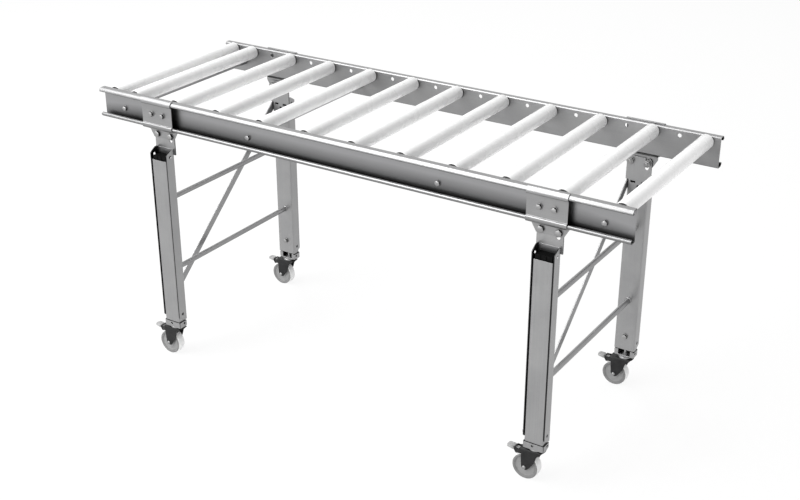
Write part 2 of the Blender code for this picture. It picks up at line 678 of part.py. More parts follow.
    # Two round cross tubes between the webs and one flat bar bolted across the flanges' left faces.
    for name, level in (("low", LEG_BASE + TUBE_BASE_RISE), ("high", RAIL_BASE - TUBE_TOP_DROP)):
        tube = bmesh.new()
        drill(tube, (0, 0, 0), (0, 1, 0), TUBE_DIAMETER, 2 * (LEG_IN - GAP), TUBE_SIDES)
        add_node(f"cross_tube_{end}_{name}", tube, ZINC, (-PIVOT_X, 0, level - PIVOT_Z), frame, SMOOTH)
    run = Vector((2 * BRACE_Y, BRACE_HIGH - BRACE_LOW))
    reach = run.length / 2
    outline = arc(Vector((reach, 0)), BAR_WIDTH / 2, -math.pi / 2, math.pi / 2, 2 * ARC_STEPS)
    outline += arc(Vector((-reach, 0)), BAR_WIDTH / 2, math.pi / 2, 3 * math.pi / 2, 2 * ARC_STEPS)
    bar = bmesh.new()
    slab(bar, outline, 0, BAR_THICK, lambda p, x: Vector((-x, p.x, p.y)))
    brace = add_node("diagonal_brace_" + end, bar, ZINC,
                     (-PIVOT_X - LEG_WIDTH / 2 - GAP, 0, (BRACE_LOW + BRACE_HIGH) / 2 - PIVOT_Z), frame)
    brace.rotation_euler.x = math.atan2(run.y, run.x)
    holes = bmesh.new()
    for y in (-reach, reach):
        drill(holes, (-BAR_THICK / 2, y, 0), (1, 0, 0), BRACE_HOLE, BAR_THICK + 2 * BEYOND)
    tool = add_node("brace_holes_" + end, holes, None, brace.location, frame)
    tool.rotation_euler = brace.rotation_euler
    boolean(brace, "DIFFERENCE", tool)
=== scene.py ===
"""Looks of the roller stand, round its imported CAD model. Metres, +Z up, X along the rails, front at -Y."""

import math

import bmesh
import bpy
from mathutils import Matrix, Vector


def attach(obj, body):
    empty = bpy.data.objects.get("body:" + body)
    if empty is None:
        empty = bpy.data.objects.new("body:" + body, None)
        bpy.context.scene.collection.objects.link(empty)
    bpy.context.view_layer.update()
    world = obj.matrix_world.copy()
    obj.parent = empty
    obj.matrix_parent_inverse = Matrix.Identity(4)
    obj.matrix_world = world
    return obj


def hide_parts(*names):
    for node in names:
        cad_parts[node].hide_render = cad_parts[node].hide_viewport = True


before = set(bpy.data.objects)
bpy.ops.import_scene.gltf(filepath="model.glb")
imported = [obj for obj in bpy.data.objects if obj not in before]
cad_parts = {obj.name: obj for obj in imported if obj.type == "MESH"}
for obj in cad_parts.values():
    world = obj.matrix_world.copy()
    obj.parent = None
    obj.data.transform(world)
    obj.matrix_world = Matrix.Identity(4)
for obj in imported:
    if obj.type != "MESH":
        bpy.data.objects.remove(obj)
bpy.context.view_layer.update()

# Rails: two channels folded from 2.5 mm galvanised strip, web towards the rollers, with a rolled hook along
# both outer edges. They are cut to 1650 mm and punched: hexagons for the axles, round holes for the ties.
SIDES = {"front": -1, "rear": 1}
ALONG, ACROSS, UP = (1, 0, 0), (0, 1, 0), (0, 0, 1)
SHEET = 0.0025
RAIL_LENGTH = 1.650
RAIL_TOP = 0.815
RAIL_HEIGHT = 0.086
RAIL_BASE = RAIL_TOP - RAIL_HEIGHT
RAIL_FLANGE = 0.024
WEB_IN = 0.27075
WEB_OUT = WEB_IN + SHEET
HOOK_DROP = 0.012
HOOK_LIP = 0.008
HOOK_RADIUS = 0.0022
SHOULDER_RADIUS = 0.0085
BEND_RADIUS = 0.002
ROLL_STEPS = 8
HOLE_PITCH = 0.075
HOLE_COUNT = 22
AXLE_Z = 0.799
AXLE_HOLE_FLATS = 0.0106
TIE_Z = 0.7605
TIE_X = (-0.75, -0.30, 0.30, 0.75)
TIE_HOLE = 0.0092
CUT_THROUGH = 0.012
ROUND_SIDES = 24
HEX_SIDES = 6
SHEET_EDGE = 0.00035
EDGE_STEPS = 2
EDGE_TURN = math.radians(33)
CREASE_TURN = math.radians(38)


def grey(value, blue=0.0):
    return value, value, value + blue, 1


ZINC_DARK = grey(0.28, 0.005)
ZINC_LIGHT = grey(0.365)
RAIL_DARK = grey(0.25, 0.005)
RAIL_LIGHT = grey(0.325)
# Painted shade: the colour that faces looking down darken towards, and the turn of the face over which they
# do.
UNDERSIDE_SHADE = grey(0.08)
UNDERSIDE_SHADE_TURN = (-0.1, -0.8)
# Painted shade: near-black tones of the zinc for places where shade falls, such as inside folds and hooks.
FOLD_SHADE_DARK = grey(0.025)
FOLD_SHADE_LIGHT = grey(0.045)
# Painted shade on the rail's web and in the legs' wells: the web's grey darkens towards the shade's grey
# lower down, along a wavy line, and the shade sits lower towards the rails' ends.
WEB_GREY = grey(0.285, 0.005)
WEB_SHADE_GREY = grey(0.045)
SHADE_WAVE = 0.006
SHADE_ENDS_FROM = 0.70
SHADE_DROP_AT_ENDS = 0.014
WEB_SHADE_LOW = 0.011
WEB_SHADE_TOP = 0.056
SHADE_WAVE_RUNS = (9, 9, 60)
RAIL_LINES = (3, 700, 700)
ZINC_METAL = 0.95
ZINC_ROUGH = 0.27
ZINC_CLOUDS = 11
ZINC_FLECKS = 420
ZINC_RELIEF = 0.00006
CONTRAST = (0.3, 0.7)


class Wire:
    """A number that runs through a finish. Arithmetic on it adds the Math nodes."""

    def __init__(self, finish, socket):
        self.finish = finish
        self.socket = socket

    def math(self, operation, *values):
        return self.finish.node("ShaderNodeMath", {"operation": operation}, dict(enumerate(values)))

    def __add__(self, other):
        return self.math("ADD", self, other)

    def __sub__(self, other):
        return self.math("SUBTRACT", self, other)

    def __rsub__(self, other):
        return self.math("SUBTRACT", other, self)

    def __mul__(self, other):
        return self.math("MULTIPLY", self, other)

    __radd__ = __add__
    __rmul__ = __mul__


class Finish:
    """The node finish of a surface; sockets gives the shader's own sockets, the same all over."""

    def __init__(self, owner, shader, sockets):
        owner.use_nodes = True
        self.owner = owner
        self.tree = owner.node_tree
        self.shader = self.tree.nodes[shader]
        self.feed(self.shader, sockets)

    def feed(self, node, sockets):
        for name, value in sockets.items():
            if isinstance(value, Wire):
                self.tree.links.new(value.socket, node.inputs[name])
            else:
                node.inputs[name].default_value = value

    def node(self, kind, settings=None, sockets=None, output=0):
        made = self.tree.nodes.new(kind)
        for name, value in (settings or {}).items():
            setattr(made, name, value)
        self.feed(made, sockets or {})
        return Wire(self, made.outputs[output])

    def noise(self, lumps, detail, roughness=0.55):
        """Noise over the piece's own coordinates; lumps is how many in a metre, for each axis or for all."""
        stretch = lumps if isinstance(lumps, tuple) else (lumps, lumps, lumps)
        place = self.node("ShaderNodeTexCoord", output="Object")
        run = self.node("ShaderNodeMapping", {"vector_type": "POINT"}, {"Vector": place, "Scale": stretch})
        return self.node("ShaderNodeTexNoise", {},
                         {"Vector": run, "Scale": 1.0, "Detail": detail, "Roughness": roughness})

    def level(self, kind, output, part=2):
        """The upward part of a vector that a node gives, or another part of it."""
        return self.node("ShaderNodeSeparateXYZ", {}, {0: self.node(kind, output=output)}, part)

    def spread(self, value, low, high):
        """Stretches a value from low..high to 0..1 and holds it there."""
        return self.node("ShaderNodeMapRange", {"clamp": True},
                         {"Value": value, "From Min": low, "From Max": high, "To Min": 0.0, "To Max": 1.0})

    def tint(self, share, first, second):
        return self.node("ShaderNodeMix", {"data_type": "RGBA"}, {0: share, 6: first, 7: second}, 2)

    def coat(self, colour, roughness, height, depth, strength):
        """Feeds the shader its colour, its roughness and a relief of so many metres."""
        bump = self.node("ShaderNodeBump", {}, {"Height": height, "Distance": depth, "Strength": strength})
        self.feed(self.shader, {"Base Color": colour, "Roughness": roughness, "Normal": bump})


def surface(name, sockets):
    return Finish(bpy.data.materials.new(name), "Principled BSDF", sockets)


def zinc_sheet(name, lines_along, dark=ZINC_DARK, light=ZINC_LIGHT, height_shade=None):
    """Galvanised strip: rolling lines along it, cloudy passivation and a crystal fleck, with painted shade
    that darkens the faces that look down. Where a height shade is given, it paints the colour instead."""
    made = surface(name, {"Metallic": ZINC_METAL})
    lines = made.noise(lines_along, 4)
    clouds = made.noise(ZINC_CLOUDS, 4)
    flecks = made.noise(ZINC_FLECKS, 2)
    if height_shade:
        colour = height_shade(made)
    else:
        shade = made.spread(0.5 * clouds + 0.3 * lines + 0.2 * flecks, *CONTRAST)
        # Painted shade: faces that look down are tinted darker.
        under = made.spread(made.level("ShaderNodeNewGeometry", "Normal"), *UNDERSIDE_SHADE_TURN)
        colour = made.tint(under, made.tint(shade, dark, light), UNDERSIDE_SHADE)
    made.coat(colour, ZINC_ROUGH + 0.10 * lines + 0.10 * clouds, 0.6 * lines + 0.4 * flecks,
              depth=ZINC_RELIEF, strength=0.35)
    return made


def shaded_by_height(name, lines_along, high, low):
    """Galvanised strip whose colour is painted shade that darkens from one height down to another along a
    wavy line, and sits lower towards the ends of the rails."""
    def height_shade(made):
        along = made.level("ShaderNodeTexCoord", "Object", 0)
        towards_ends = made.spread(along.math("ABSOLUTE", along), SHADE_ENDS_FROM, RAIL_LENGTH / 2)
        wave = SHADE_WAVE * made.noise(SHADE_WAVE_RUNS, 4)
        height = made.level("ShaderNodeTexCoord", "Object") + wave + SHADE_DROP_AT_ENDS * towards_ends
        return made.tint(made.spread(height, high, low), WEB_GREY, WEB_SHADE_GREY)
    return zinc_sheet(name, lines_along, height_shade=height_shade)


def fillet(corners, radii):
    """Rounds the inner corners of an open path in a plane; corners of radius 0 stay sharp."""
    corners = [Vector(corner) for corner in corners]
    path = [corners[0]]
    for before, corner, after, radius in zip(corners, corners[1:], corners[2:], radii):
        if radius == 0:
            path.append(corner)
            continue
        back = (before - corner).normalized()
        ahead = (after - corner).normalized()
        half = back.angle(ahead) / 2
        centre = corner + (back + ahead).normalized() * radius / math.sin(half)
        start = corner + back * radius / math.tan(half) - centre
        stop = corner + ahead * radius / math.tan(half) - centre
        sweep = start.angle_signed(stop)
        for step in range(ROLL_STEPS + 1):
            path.append(centre + Matrix.Rotation(-sweep * step / ROLL_STEPS, 2) @ start)
    path.append(corners[-1])
    return path


def loft(bm, rows):
    """Skins closed rows of points one after the other and caps both ends; returns the faces between rows."""
    rows = [[bm.verts.new(point) for point in row] for row in rows]
    strips = []
    for low, high in zip(rows, rows[1:]):
        strips.append([])
        for index in range(len(low)):
            after = (index + 1) % len(low)
            strips[-1].append(bm.faces.new((low[index], low[after], high[after], high[index])))
    bm.faces.new(rows[0])
    bm.faces.new(rows[-1])
    return strips


def paint(faces, number):
    """Gives faces the piece's finish with that number."""
    for face in faces:
        face.material_index = number


def folded(path, low, high, place, inside=lambda point: 0, outside=lambda point: 0):
    """Sheet along a bent path, running from low to high at each point of the path. The path's left face and
    all cut edges take the finish with the number that inside gives, the right face outside's."""
    bm = bmesh.new()
    rows = []
    for index, point in enumerate(path):
        back = (point - path[index - 1]).normalized() if index else None
        ahead = (path[index + 1] - point).normalized() if index + 1 < len(path) else back
        back = back or ahead
        run = (back + ahead).normalized()
        side = Vector((-run.y, run.x)) * SHEET / 2 / run.dot(ahead)
        rows.append([place(point + side, low[index]), place(point + side, high[index]),
                     place(point - side, high[index]), place(point - side, low[index])])
    for strip, start, stop in zip(loft(bm, rows), path, path[1:]):
        for face, finish in zip(strip, (inside, inside, outside, inside)):
            face.material_index = finish((start + stop) / 2)
    bm.faces.ensure_lookup_table()
    bm.faces[-2].material_index = inside(path[0])
    bm.faces[-1].material_index = inside(path[-1])
    return bm


def plate(bm, outline, low, high, place):
    """A flat outline carried from low to high; returns the faces round its edge."""
    outline = [Vector(point) for point in outline]
    return loft(bm, [[place(point, level) for point in outline] for level in (low, high)])[0]


def axis_at(seat, out):
    """A frame with its Z along out and its origin on the seat."""
    turn = Vector(UP).rotation_difference(Vector(out)).to_matrix().to_4x4()
    return Matrix.Translation(seat) @ turn


def circle(axis, radius, level, sides=ROUND_SIDES, turn=0.0):
    return [axis @ Vector((radius * math.cos(turn + math.tau * step / sides),
                           radius * math.sin(turn + math.tau * step / sides), level))
            for step in range(sides)]


def punch(bm, middle, out, diameter, sides=ROUND_SIDES):
    axis = axis_at(middle, out)
    turn = math.pi / 2 if sides == HEX_SIDES else 0
    levels = (-CUT_THROUGH / 2, CUT_THROUGH / 2)
    loft(bm, [circle(axis, diameter / 2, level, sides, turn) for level in levels])


def across_corners(flats):
    return flats / math.cos(math.pi / 6)


def mesh_item(name, bm):
    bmesh.ops.recalc_face_normals(bm, faces=bm.faces[:])
    mesh = bpy.data.meshes.new(name)
    bm.to_mesh(mesh)
    bm.free()
    mesh.shade_smooth()
    made = bpy.data.objects.new(name, mesh)
    bpy.context.scene.collection.objects.link(made)
    return made


def piece(name, bm, finishes, body, node=None, sheet=0, welded=(), punched=None, edge=0):
    """Finishes one piece: thickens a thin skin, welds on and punches out, breaks the edges, then paints it
    and hangs it on the body that carries it. node is the CAD piece that it stands for."""
    made = mesh_item(name, bm)
    for finish in finishes:
        made.data.materials.append(finish.owner)
    if sheet:
        skin = made.modifiers.new("sheet", "SOLIDIFY")
        skin.thickness = sheet
        skin.offset = 0
        skin.use_even_offset = True
    tools = [(mesh_item(name + "_weld", tool), "UNION") for tool in welded]
    if punched:
        tools.append((mesh_item(name + "_punch", punched), "DIFFERENCE"))
    for tool, operation in tools:
        cut = made.modifiers.new(operation, "BOOLEAN")
        cut.operation = operation
        cut.solver = "EXACT"
        cut.object = tool
    if edge:
        broken = made.modifiers.new("edge", "BEVEL")
        broken.width = edge
        broken.segments = EDGE_STEPS
        broken.limit_method = "ANGLE"
        broken.angle_limit = EDGE_TURN
        broken.harden_normals = True
        broken.use_clamp_overlap = False
    done = bpy.data.meshes.new_from_object(made.evaluated_get(bpy.context.evaluated_depsgraph_get()))
    done.name = name
    if not edge:
        done.set_sharp_from_angle(angle=CREASE_TURN)
    made.modifiers.clear()
    made.data = done
    for tool, _ in tools:
        bpy.data.objects.remove(tool)
    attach(made, body)
    if node:
        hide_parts(node)


rail_zinc = zinc_sheet("galvanised_rail_strip", RAIL_LINES, RAIL_DARK, RAIL_LIGHT)
# Painted shade: a near-black copy of the zinc for the insides of folds and hooks, cut edges, the lug bend,
# head-plate rims, bolt-head sides and the foot's groove and holes.
fold_shade_zinc = zinc_sheet("painted_shade_in_folds", 40, FOLD_SHADE_DARK, FOLD_SHADE_LIGHT)
# Painted shade: the rail's web darkens towards its bottom, in the channel between the hooks.
web_shade_zinc = shaded_by_height("painted_shade_rail_web", RAIL_LINES, RAIL_BASE + WEB_SHADE_TOP, RAIL_BASE + WEB_SHADE_LOW)
half = SHEET / 2
hook = RAIL_FLANGE - half
lip = RAIL_FLANGE - HOOK_LIP
rail_path = fillet(
    [(lip, RAIL_HEIGHT - HOOK_DROP + half), (hook, RAIL_HEIGHT - HOOK_DROP + half),
     (hook, RAIL_HEIGHT - half), (half, RAIL_HEIGHT - half), (half, half), (hook, half),
     (hook, HOOK_DROP - half), (lip, HOOK_DROP - half)],
    [HOOK_RADIUS, SHOULDER_RADIUS - half, BEND_RADIUS, BEND_RADIUS, SHOULDER_RADIUS - half, HOOK_RADIUS])
rail_end = [RAIL_LENGTH / 2] * len(rail_path)
for side, sign in SIDES.items():
    web = sign * (WEB_IN + half)
    holes = bmesh.new()
    for index in range(HOLE_COUNT):
        x = (index - (HOLE_COUNT - 1) / 2) * HOLE_PITCH
        punch(holes, (x, web, AXLE_Z), ACROSS, across_corners(AXLE_HOLE_FLATS), HEX_SIDES)
    for x in TIE_X:
        punch(holes, (x, web, TIE_Z), ACROSS, TIE_HOLE)
    # Painted shade: inside the channel the hooks take the near-black fold shade and the web the shade that
    # darkens towards its bottom.
    piece("rail_strip_" + side,
          folded(rail_path, [-x for x in rail_end], rail_end,
                 lambda p, x: Vector((x, sign * (WEB_IN + p.x), RAIL_BASE + p.y)),
                 lambda p: 1 if p.x > 2 * BEND_RADIUS else 2),
          [rail_zinc, fold_shade_zinc, web_shade_zinc], "deck", "rail_" + side,
          punched=holes, edge=SHEET_EDGE)

# Cross ties: four round steel rods that hold the rails apart, each with a bolt through the rail's web at both
# ends. Zinc plated; the 13 mm hexagon heads sit on the webs' outer faces with a thin washer under them.
GAP = 0.0003
TIE_DIAMETER = 0.016
TIE_END = WEB_IN - GAP
TIE_CHAMFER = 0.0008
TIE_STUD = 0.008
TIE_SEAT = WEB_OUT + GAP
TIE_HEAD = 0.0055
TIE_HEAD_FLATS = 0.013
TIE_WASHER = 0.0155
TIE_WASHER_THICK = 0.0011
TIE_SPIN = 17
TIE_SPIN_SIDE = 9
HEAD_FACE = 0.94
PLATING_DARK = grey(0.27, 0.005)
PLATING_LIGHT = grey(0.36, -0.005)
PLATING_BLOOM = 60
PLATING_RELIEF = 0.00003


def plated(name, lines_along, rough):
    """Bright zinc plating on turned or drawn steel: fine tool lines, a cloudy bloom and a soft grain."""
    made = surface(name, {"Metallic": 1.0})
    lines = made.noise(lines_along, 3)
    bloom = made.noise(PLATING_BLOOM, 4)
    colour = made.tint(made.spread(0.6 * bloom + 0.4 * lines, *CONTRAST), PLATING_DARK, PLATING_LIGHT)
    made.coat(colour, rough + 0.16 * lines + 0.10 * bloom, lines, depth=PLATING_RELIEF, strength=0.3)
    return made


def hexagon(axis, flats, level, face=None):
    """A hexagon row with a flat towards the axis frame's X; with face it bends down to a turned chamfer."""
    row = []
    for step in range(ROUND_SIDES):
        turn = math.tau * step / ROUND_SIDES
        past_flat = (turn + math.pi / 6) % (math.pi / 3) - math.pi / 6
        radius = flats / 2 / math.cos(past_flat)
        drop = (radius - face) * math.tan(math.pi / 6) if face else 0
        row.append(axis @ Vector((radius * math.cos(turn), radius * math.sin(turn), level - drop)))
    return row


def hex_head(axis, flats, low, high, spin=0.0):
    """Rows of a hexagon head or nut from low to high, with the turned chamfer on top."""
    axis = axis @ Matrix.Rotation(spin, 4, "Z")
    face = HEAD_FACE * flats / 2
    return [hexagon(axis, flats, low), hexagon(axis, flats, high, face), circle(axis, face, high)]


def washer(axis, diameter, low, thick):
    """Rows of a washer with a broken edge."""
    broken = thick / 4
    reach = diameter / 2
    return [circle(axis, reach - broken, low), circle(axis, reach, low + broken),
            circle(axis, reach, low + thick - broken), circle(axis, reach - broken, low + thick)]


tie_zinc = zinc_sheet("zinc_tie_rod", (300, 5, 300))
bolt_zinc = plated("zinc_bolt_plating", 500, 0.36)
for number, x in enumerate(TIE_X, 1):
    tie = bmesh.new()
    ends = []
    for sign in (-1, 1):
        axis = axis_at((x, 0, TIE_Z), ACROSS) @ Matrix.Diagonal((1, 1, sign, 1))
        ends.append([circle(axis, TIE_DIAMETER / 2, TIE_END - TIE_CHAMFER),
                     circle(axis, TIE_DIAMETER / 2 - TIE_CHAMFER, TIE_END),
                     circle(axis, TIE_STUD / 2, TIE_END), circle(axis, TIE_STUD / 2, TIE_SEAT)])
        ends[-1] += washer(axis, TIE_WASHER, TIE_SEAT, TIE_WASHER_THICK)
        ends[-1] += hex_head(axis, TIE_HEAD_FLATS, TIE_SEAT + TIE_WASHER_THICK, TIE_SEAT + TIE_HEAD,
                             math.radians(TIE_SPIN * number + TIE_SPIN_SIDE * sign))
    strips = loft(tie, ends[0][::-1] + ends[1])
    # Painted shade: the flat sides of both hexagon heads take the near-black fold shade.
    paint(strips[1] + strips[-2], 1)
    piece(f"tie_rod_{number}", tie, [tie_zinc, fold_shade_zinc], "deck", f"cross_tie_{number}")

# Axles: twelve 10 mm hexagon bars of drawn bright steel, sawn and chamfered at both ends. They sit in the
# rails' hexagon holes, so they stay still while the rollers turn on them.
FIRST_AXLE_X = -0.7875
SECOND_AXLE_X = -0.7125
ROLLER_PITCH = 0.15
ROLLER_COUNT = 12
AXLE_X = [FIRST_AXLE_X] + [SECOND_AXLE_X + ROLLER_PITCH * step for step in range(ROLLER_COUNT - 1)]
AXLE_FLATS = 0.010
AXLE_END = 0.27725
AXLE_FACE = 0.90 * AXLE_FLATS / 2
axle_steel = plated("bright_axle_bar", (260, 4, 260), 0.18)
for number, x in enumerate(AXLE_X, 1):
    axle = bmesh.new()
    axis = axis_at((x, 0, AXLE_Z), ACROSS) @ Matrix.Rotation(math.pi / 2, 4, "Z")
    other = axis @ Matrix.Diagonal((1, 1, -1, 1))
    loft(axle, [circle(other, AXLE_FACE, AXLE_END), hexagon(other, AXLE_FLATS, AXLE_END, AXLE_FACE),
                hexagon(axis, AXLE_FLATS, AXLE_END, AXLE_FACE), circle(axis, AXLE_FACE, AXLE_END)])
    piece(f"axle_bar_{number:02d}", axle, [axle_steel], "deck", f"axle_{number:02d}")

# Rollers: twelve 40 mm tubes with a smooth white coat, rolled in at both ends over a pressed bearing cap. The
# cap is a dark ring with a seal round the bore, and turns with the tube on the fixed axle.
ROLLER_RADIUS = 0.020
ROLLER_WALL = 0.0015
ROLLER_END = 0.26775
ROLLER_BORE = 0.0064
ROLLER_CAP = 0.012
ROLLER_SIDES = 64
ROLLER_WHITE = grey(0.82)
ROLLER_SHADE = grey(0.76)
CAP_DARK = grey(0.06)
CAP_LIGHT = grey(0.10)
CAP_ROWS = 6
MOULD_WEAR = 55
MOULD_RELIEF = 0.00012
COAT_DRAWN = (220, 3, 220)
COAT_HAZE = 16
COAT_SCUFF = (90, 400, 90)
COAT_RELIEF = 0.00006
tube_end = [(ROLLER_BORE, -0.0012), (0.0088, -0.0012), (0.0092, -0.0018), (0.0128, -0.0018),
            (0.0132, -0.0010), (0.0172, -0.0010), (0.0176, -0.0002), (0.0184, 0.0), (0.0192, -0.0002),
            (0.0197, -0.0007), (ROLLER_RADIUS, -0.0016)]


def turned(bm, profile, axis, sides):
    """Carries a closed profile of (radius, level) round an axis; returns the faces of each of its steps."""
    rows = [[bm.verts.new(point) for point in circle(axis, radius, level, sides)]
            for radius, level in profile]
    return [[bm.faces.new((low[i], low[(i + 1) % sides], high[(i + 1) % sides], high[i]))
             for i in range(sides)] for low, high in zip(rows, rows[1:] + rows[:1])]


def other_end(profile):
    return [(radius, -level) for radius, level in reversed(profile)]


def moulded(name, dark, light, grain, rough, shine=0.35):
    """Moulded plastic or rubber: the fine grain of the mould and a cloudy, handled tone."""
    made = surface(name, {"Specular IOR Level": shine})
    fine = made.noise(grain, 3)
    worn = made.noise(MOULD_WEAR, 4)
    colour = made.tint(made.spread(0.4 * fine + 0.6 * worn, *CONTRAST), dark, light)
    made.coat(colour, rough + 0.2 * fine, fine, depth=MOULD_RELIEF, strength=0.35)
    return made


roller_coat = surface("white_roller_coat", {"Specular IOR Level": 0.5, "IOR": 1.46, "Sheen Weight": 0.20,
                                            "Sheen Roughness": 0.25})
drawn = roller_coat.noise(COAT_DRAWN, 3)
haze = roller_coat.noise(COAT_HAZE, 4)
scuff = roller_coat.spread(roller_coat.noise(COAT_SCUFF, 5, 0.7), 0.60, 0.74)
dull = roller_coat.spread(0.5 * haze + 0.3 * drawn, 0.25, 0.55) * 0.6 + 0.4 * scuff
roller_coat.coat(roller_coat.tint(dull, ROLLER_WHITE, ROLLER_SHADE), 0.20 + 0.14 * haze + 0.12 * scuff,
                 drawn + 0.4 * haze, depth=COAT_RELIEF, strength=0.25)
cap_plastic = moulded("bearing_cap_plastic", CAP_DARK, CAP_LIGHT, 900, 0.42)
outer_half = [(radius, ROLLER_END + level) for radius, level in tube_end]
inner_half = [(radius, ROLLER_END - ROLLER_CAP) for radius in (ROLLER_RADIUS - ROLLER_WALL, ROLLER_BORE)]
roller_profile = outer_half + other_end(outer_half) + other_end(inner_half) + inner_half
far_cap = 2 * len(outer_half) - 1 - CAP_ROWS
for number, x in enumerate(AXLE_X, 1):
    roller = bmesh.new()
    steps = turned(roller, roller_profile, axis_at((x, 0, AXLE_Z), ACROSS), ROLLER_SIDES)
    for faces in steps[:CAP_ROWS] + steps[far_cap:]:
        paint(faces, 1)
    piece(f"roller_tube_{number:02d}", roller, [roller_coat, cap_plastic], f"roller_body_{number:02d}",
          f"roller_{number:02d}")

# Rail clips: four plates pressed to lap over the rail's hooks, with a flat face between them and a tapered
# lug under the rail for the leg. Two M8 bolts with washers clamp each on the rail.
ENDS = {"left": -1, "right": 1}
CORNERS = [(f"{end}_{side}", end, ahead, sign) for end, ahead in ENDS.items() for side, sign in SIDES.items()]
LEG_X = 0.610
CLIP_WIDTH = 0.109
CLIP_LAP = 0.012
CLIP_RECESS = 0.0048
CLIP_JOG_RADIUS = 0.0022
CLIP_BOLT_X = 0.020
CLIP_BOLT_Z = RAIL_BASE + RAIL_HEIGHT / 2
CLIP_BOLT_HOLE = 0.009
CLIP_SPIN_END = 40
CLIP_SPIN_X = 700
CLIP_SPIN_SIDE = 8
LUG_IN = 0.26835
LUG_BEND = 0.0016
LUG_TOP_WIDTH = 0.100
LUG_WIDTH = 0.073
LUG_SHOULDER = 0.011
LUG_DROP = 0.034
PIVOT_Z = 0.7055
PIVOT_X = -0.024
SLOT_RADIUS = 0.048
PIVOT_HOLE = 0.0106
M8 = {"thread": 0.008, "flats": 0.013, "head": 0.0053, "nut": 0.0065, "washer": 0.0165}
WASHER_THICK = 0.0015
NUT_TAIL = 0.0015
THREAD_POINT = 0.8
clip_out = RAIL_FLANGE + GAP + half
clip_face = clip_out - CLIP_RECESS
clip_round = SHOULDER_RADIUS + GAP + half
clip_top = RAIL_HEIGHT + GAP + half
jog_high = RAIL_HEIGHT - HOOK_DROP - GAP - half
jog_low = HOOK_DROP + GAP + half
lug = LUG_IN + half - WEB_IN
clip_path = fillet(
    [(RAIL_FLANGE - CLIP_LAP, clip_top), (clip_out, clip_top), (clip_out, jog_high), (clip_face, jog_high),
     (clip_face, jog_low), (clip_out, jog_low), (clip_out, -GAP - half), (lug, -GAP - half),
     (lug, -LUG_SHOULDER), (lug, -LUG_DROP)],
    [clip_round] + [CLIP_JOG_RADIUS] * 4 + [clip_round, LUG_BEND, 0])


def clip_reach(point):
    """Half the width of a clip at a point of its path: full on the rail, tapering down the lug."""
    if point.x > lug + 2 * LUG_BEND:
        return CLIP_WIDTH / 2
    share = max(0, -LUG_SHOULDER - point.y) / (LUG_DROP - LUG_SHOULDER)
    return (LUG_TOP_WIDTH + (LUG_WIDTH - LUG_TOP_WIDTH) * share) / 2


# Where the lug's bend is painted with shade.
def in_lug_bend(point):
    return point.x < lug + 2 * LUG_BEND and point.y > -2 * LUG_BEND


def thread_end(axis, thread, low, tail):
    """Rows of a bolt's end from low to tail, with a chamfered point beyond."""
    return [circle(axis, thread / 2, low), circle(axis, thread / 2, tail),
            circle(axis, thread / 2 * THREAD_POINT, tail + thread / 10)]


def bolt(bm, seat, out, size, depth, spin, washered=True):
    """A hexagon bolt on a surface, its shank going in."""
    axis = axis_at(seat, out)
    rows = [circle(axis, size["thread"] / 2, -depth), circle(axis, size["thread"] / 2, 0)]
    low = WASHER_THICK if washered else 0
    if washered:
        rows += washer(axis, size["washer"], 0, WASHER_THICK)
    strips = loft(bm, rows + hex_head(axis, size["flats"], low, low + size["head"], spin))
    # Painted shade: the head's flat sides take the piece's second finish, the near-black fold shade.
    paint(strips[-2], 1)


def nut(bm, seat, out, size, spin):
    """A nut with its washer on a surface, and the bolt's end standing out of it."""
    axis = axis_at(seat, out)
    high = WASHER_THICK + size["nut"]
    loft(bm, washer(axis, size["washer"], 0, WASHER_THICK) +
         hex_head(axis, size["flats"], WASHER_THICK, high, spin) +
         thread_end(axis, size["thread"], high, high + NUT_TAIL))


clip_zinc = zinc_sheet("galvanised_clip_plate", (4, 500, 500), RAIL_DARK, RAIL_LIGHT)
clip_half = [clip_reach(point) for point in clip_path]
clip_y = WEB_IN + clip_face
for tag, end, ahead, sign in CORNERS:
    centre = ahead * LEG_X
    holes = bmesh.new()
    bolts = bmesh.new()
    for x in (-CLIP_BOLT_X, CLIP_BOLT_X):
        punch(holes, (centre + x, sign * clip_y, CLIP_BOLT_Z), ACROSS, CLIP_BOLT_HOLE)
        spin = math.radians(CLIP_SPIN_END * (ahead + 2) + CLIP_SPIN_X * x + CLIP_SPIN_SIDE * sign)
        bolt(bolts, (centre + x, sign * (clip_y + half), CLIP_BOLT_Z), (0, sign, 0), M8, SHEET - GAP, spin)
        nut(bolts, (centre + x, sign * (clip_y - half), CLIP_BOLT_Z), (0, -sign, 0), M8, spin)
    for x in (PIVOT_X, PIVOT_X + SLOT_RADIUS):
        punch(holes, (centre + x, sign * (LUG_IN + half), PIVOT_Z), ACROSS, PIVOT_HOLE)
    # Painted shade: the outside of the lug's bend takes the near-black fold shade.
    piece("clip_plate_" + tag,
          folded(clip_path, [-x for x in clip_half], clip_half,
                 lambda p, x: Vector((centre + x, sign * (WEB_IN + p.x), RAIL_BASE + p.y)),
                 outside=lambda p: 1 if in_lug_bend(p) else 0),
          [clip_zinc, fold_shade_zinc], "deck", "rail_clip_" + tag, punched=holes, edge=SHEET_EDGE)
    piece("clip_bolts_" + tag, bolts, [bolt_zinc, fold_shade_zinc], "deck")

# Outer legs: four channels of the same strip, open to the outside, each welded to a 3.5 mm head plate that
# hangs on the clip's lug by two M10 bolts. One is the pivot, the other clamps in the plate's curved slot.
LEG_WIDTH = 0.062
LEG_CORNER = 0.003
LEG_IN = 0.26735
LEG_OUT = 0.30035
LEG_BASE = 0.124
LEG_WEB_DROP = 0.062
FLANGE_BACK_DROP = 0.060
FLANGE_FRONT_DROP = 0.0735
FLANGE_SLOPE = 0.020
FLANGE_NOSE = 0.004
LEG_CHAMFER = 0.013
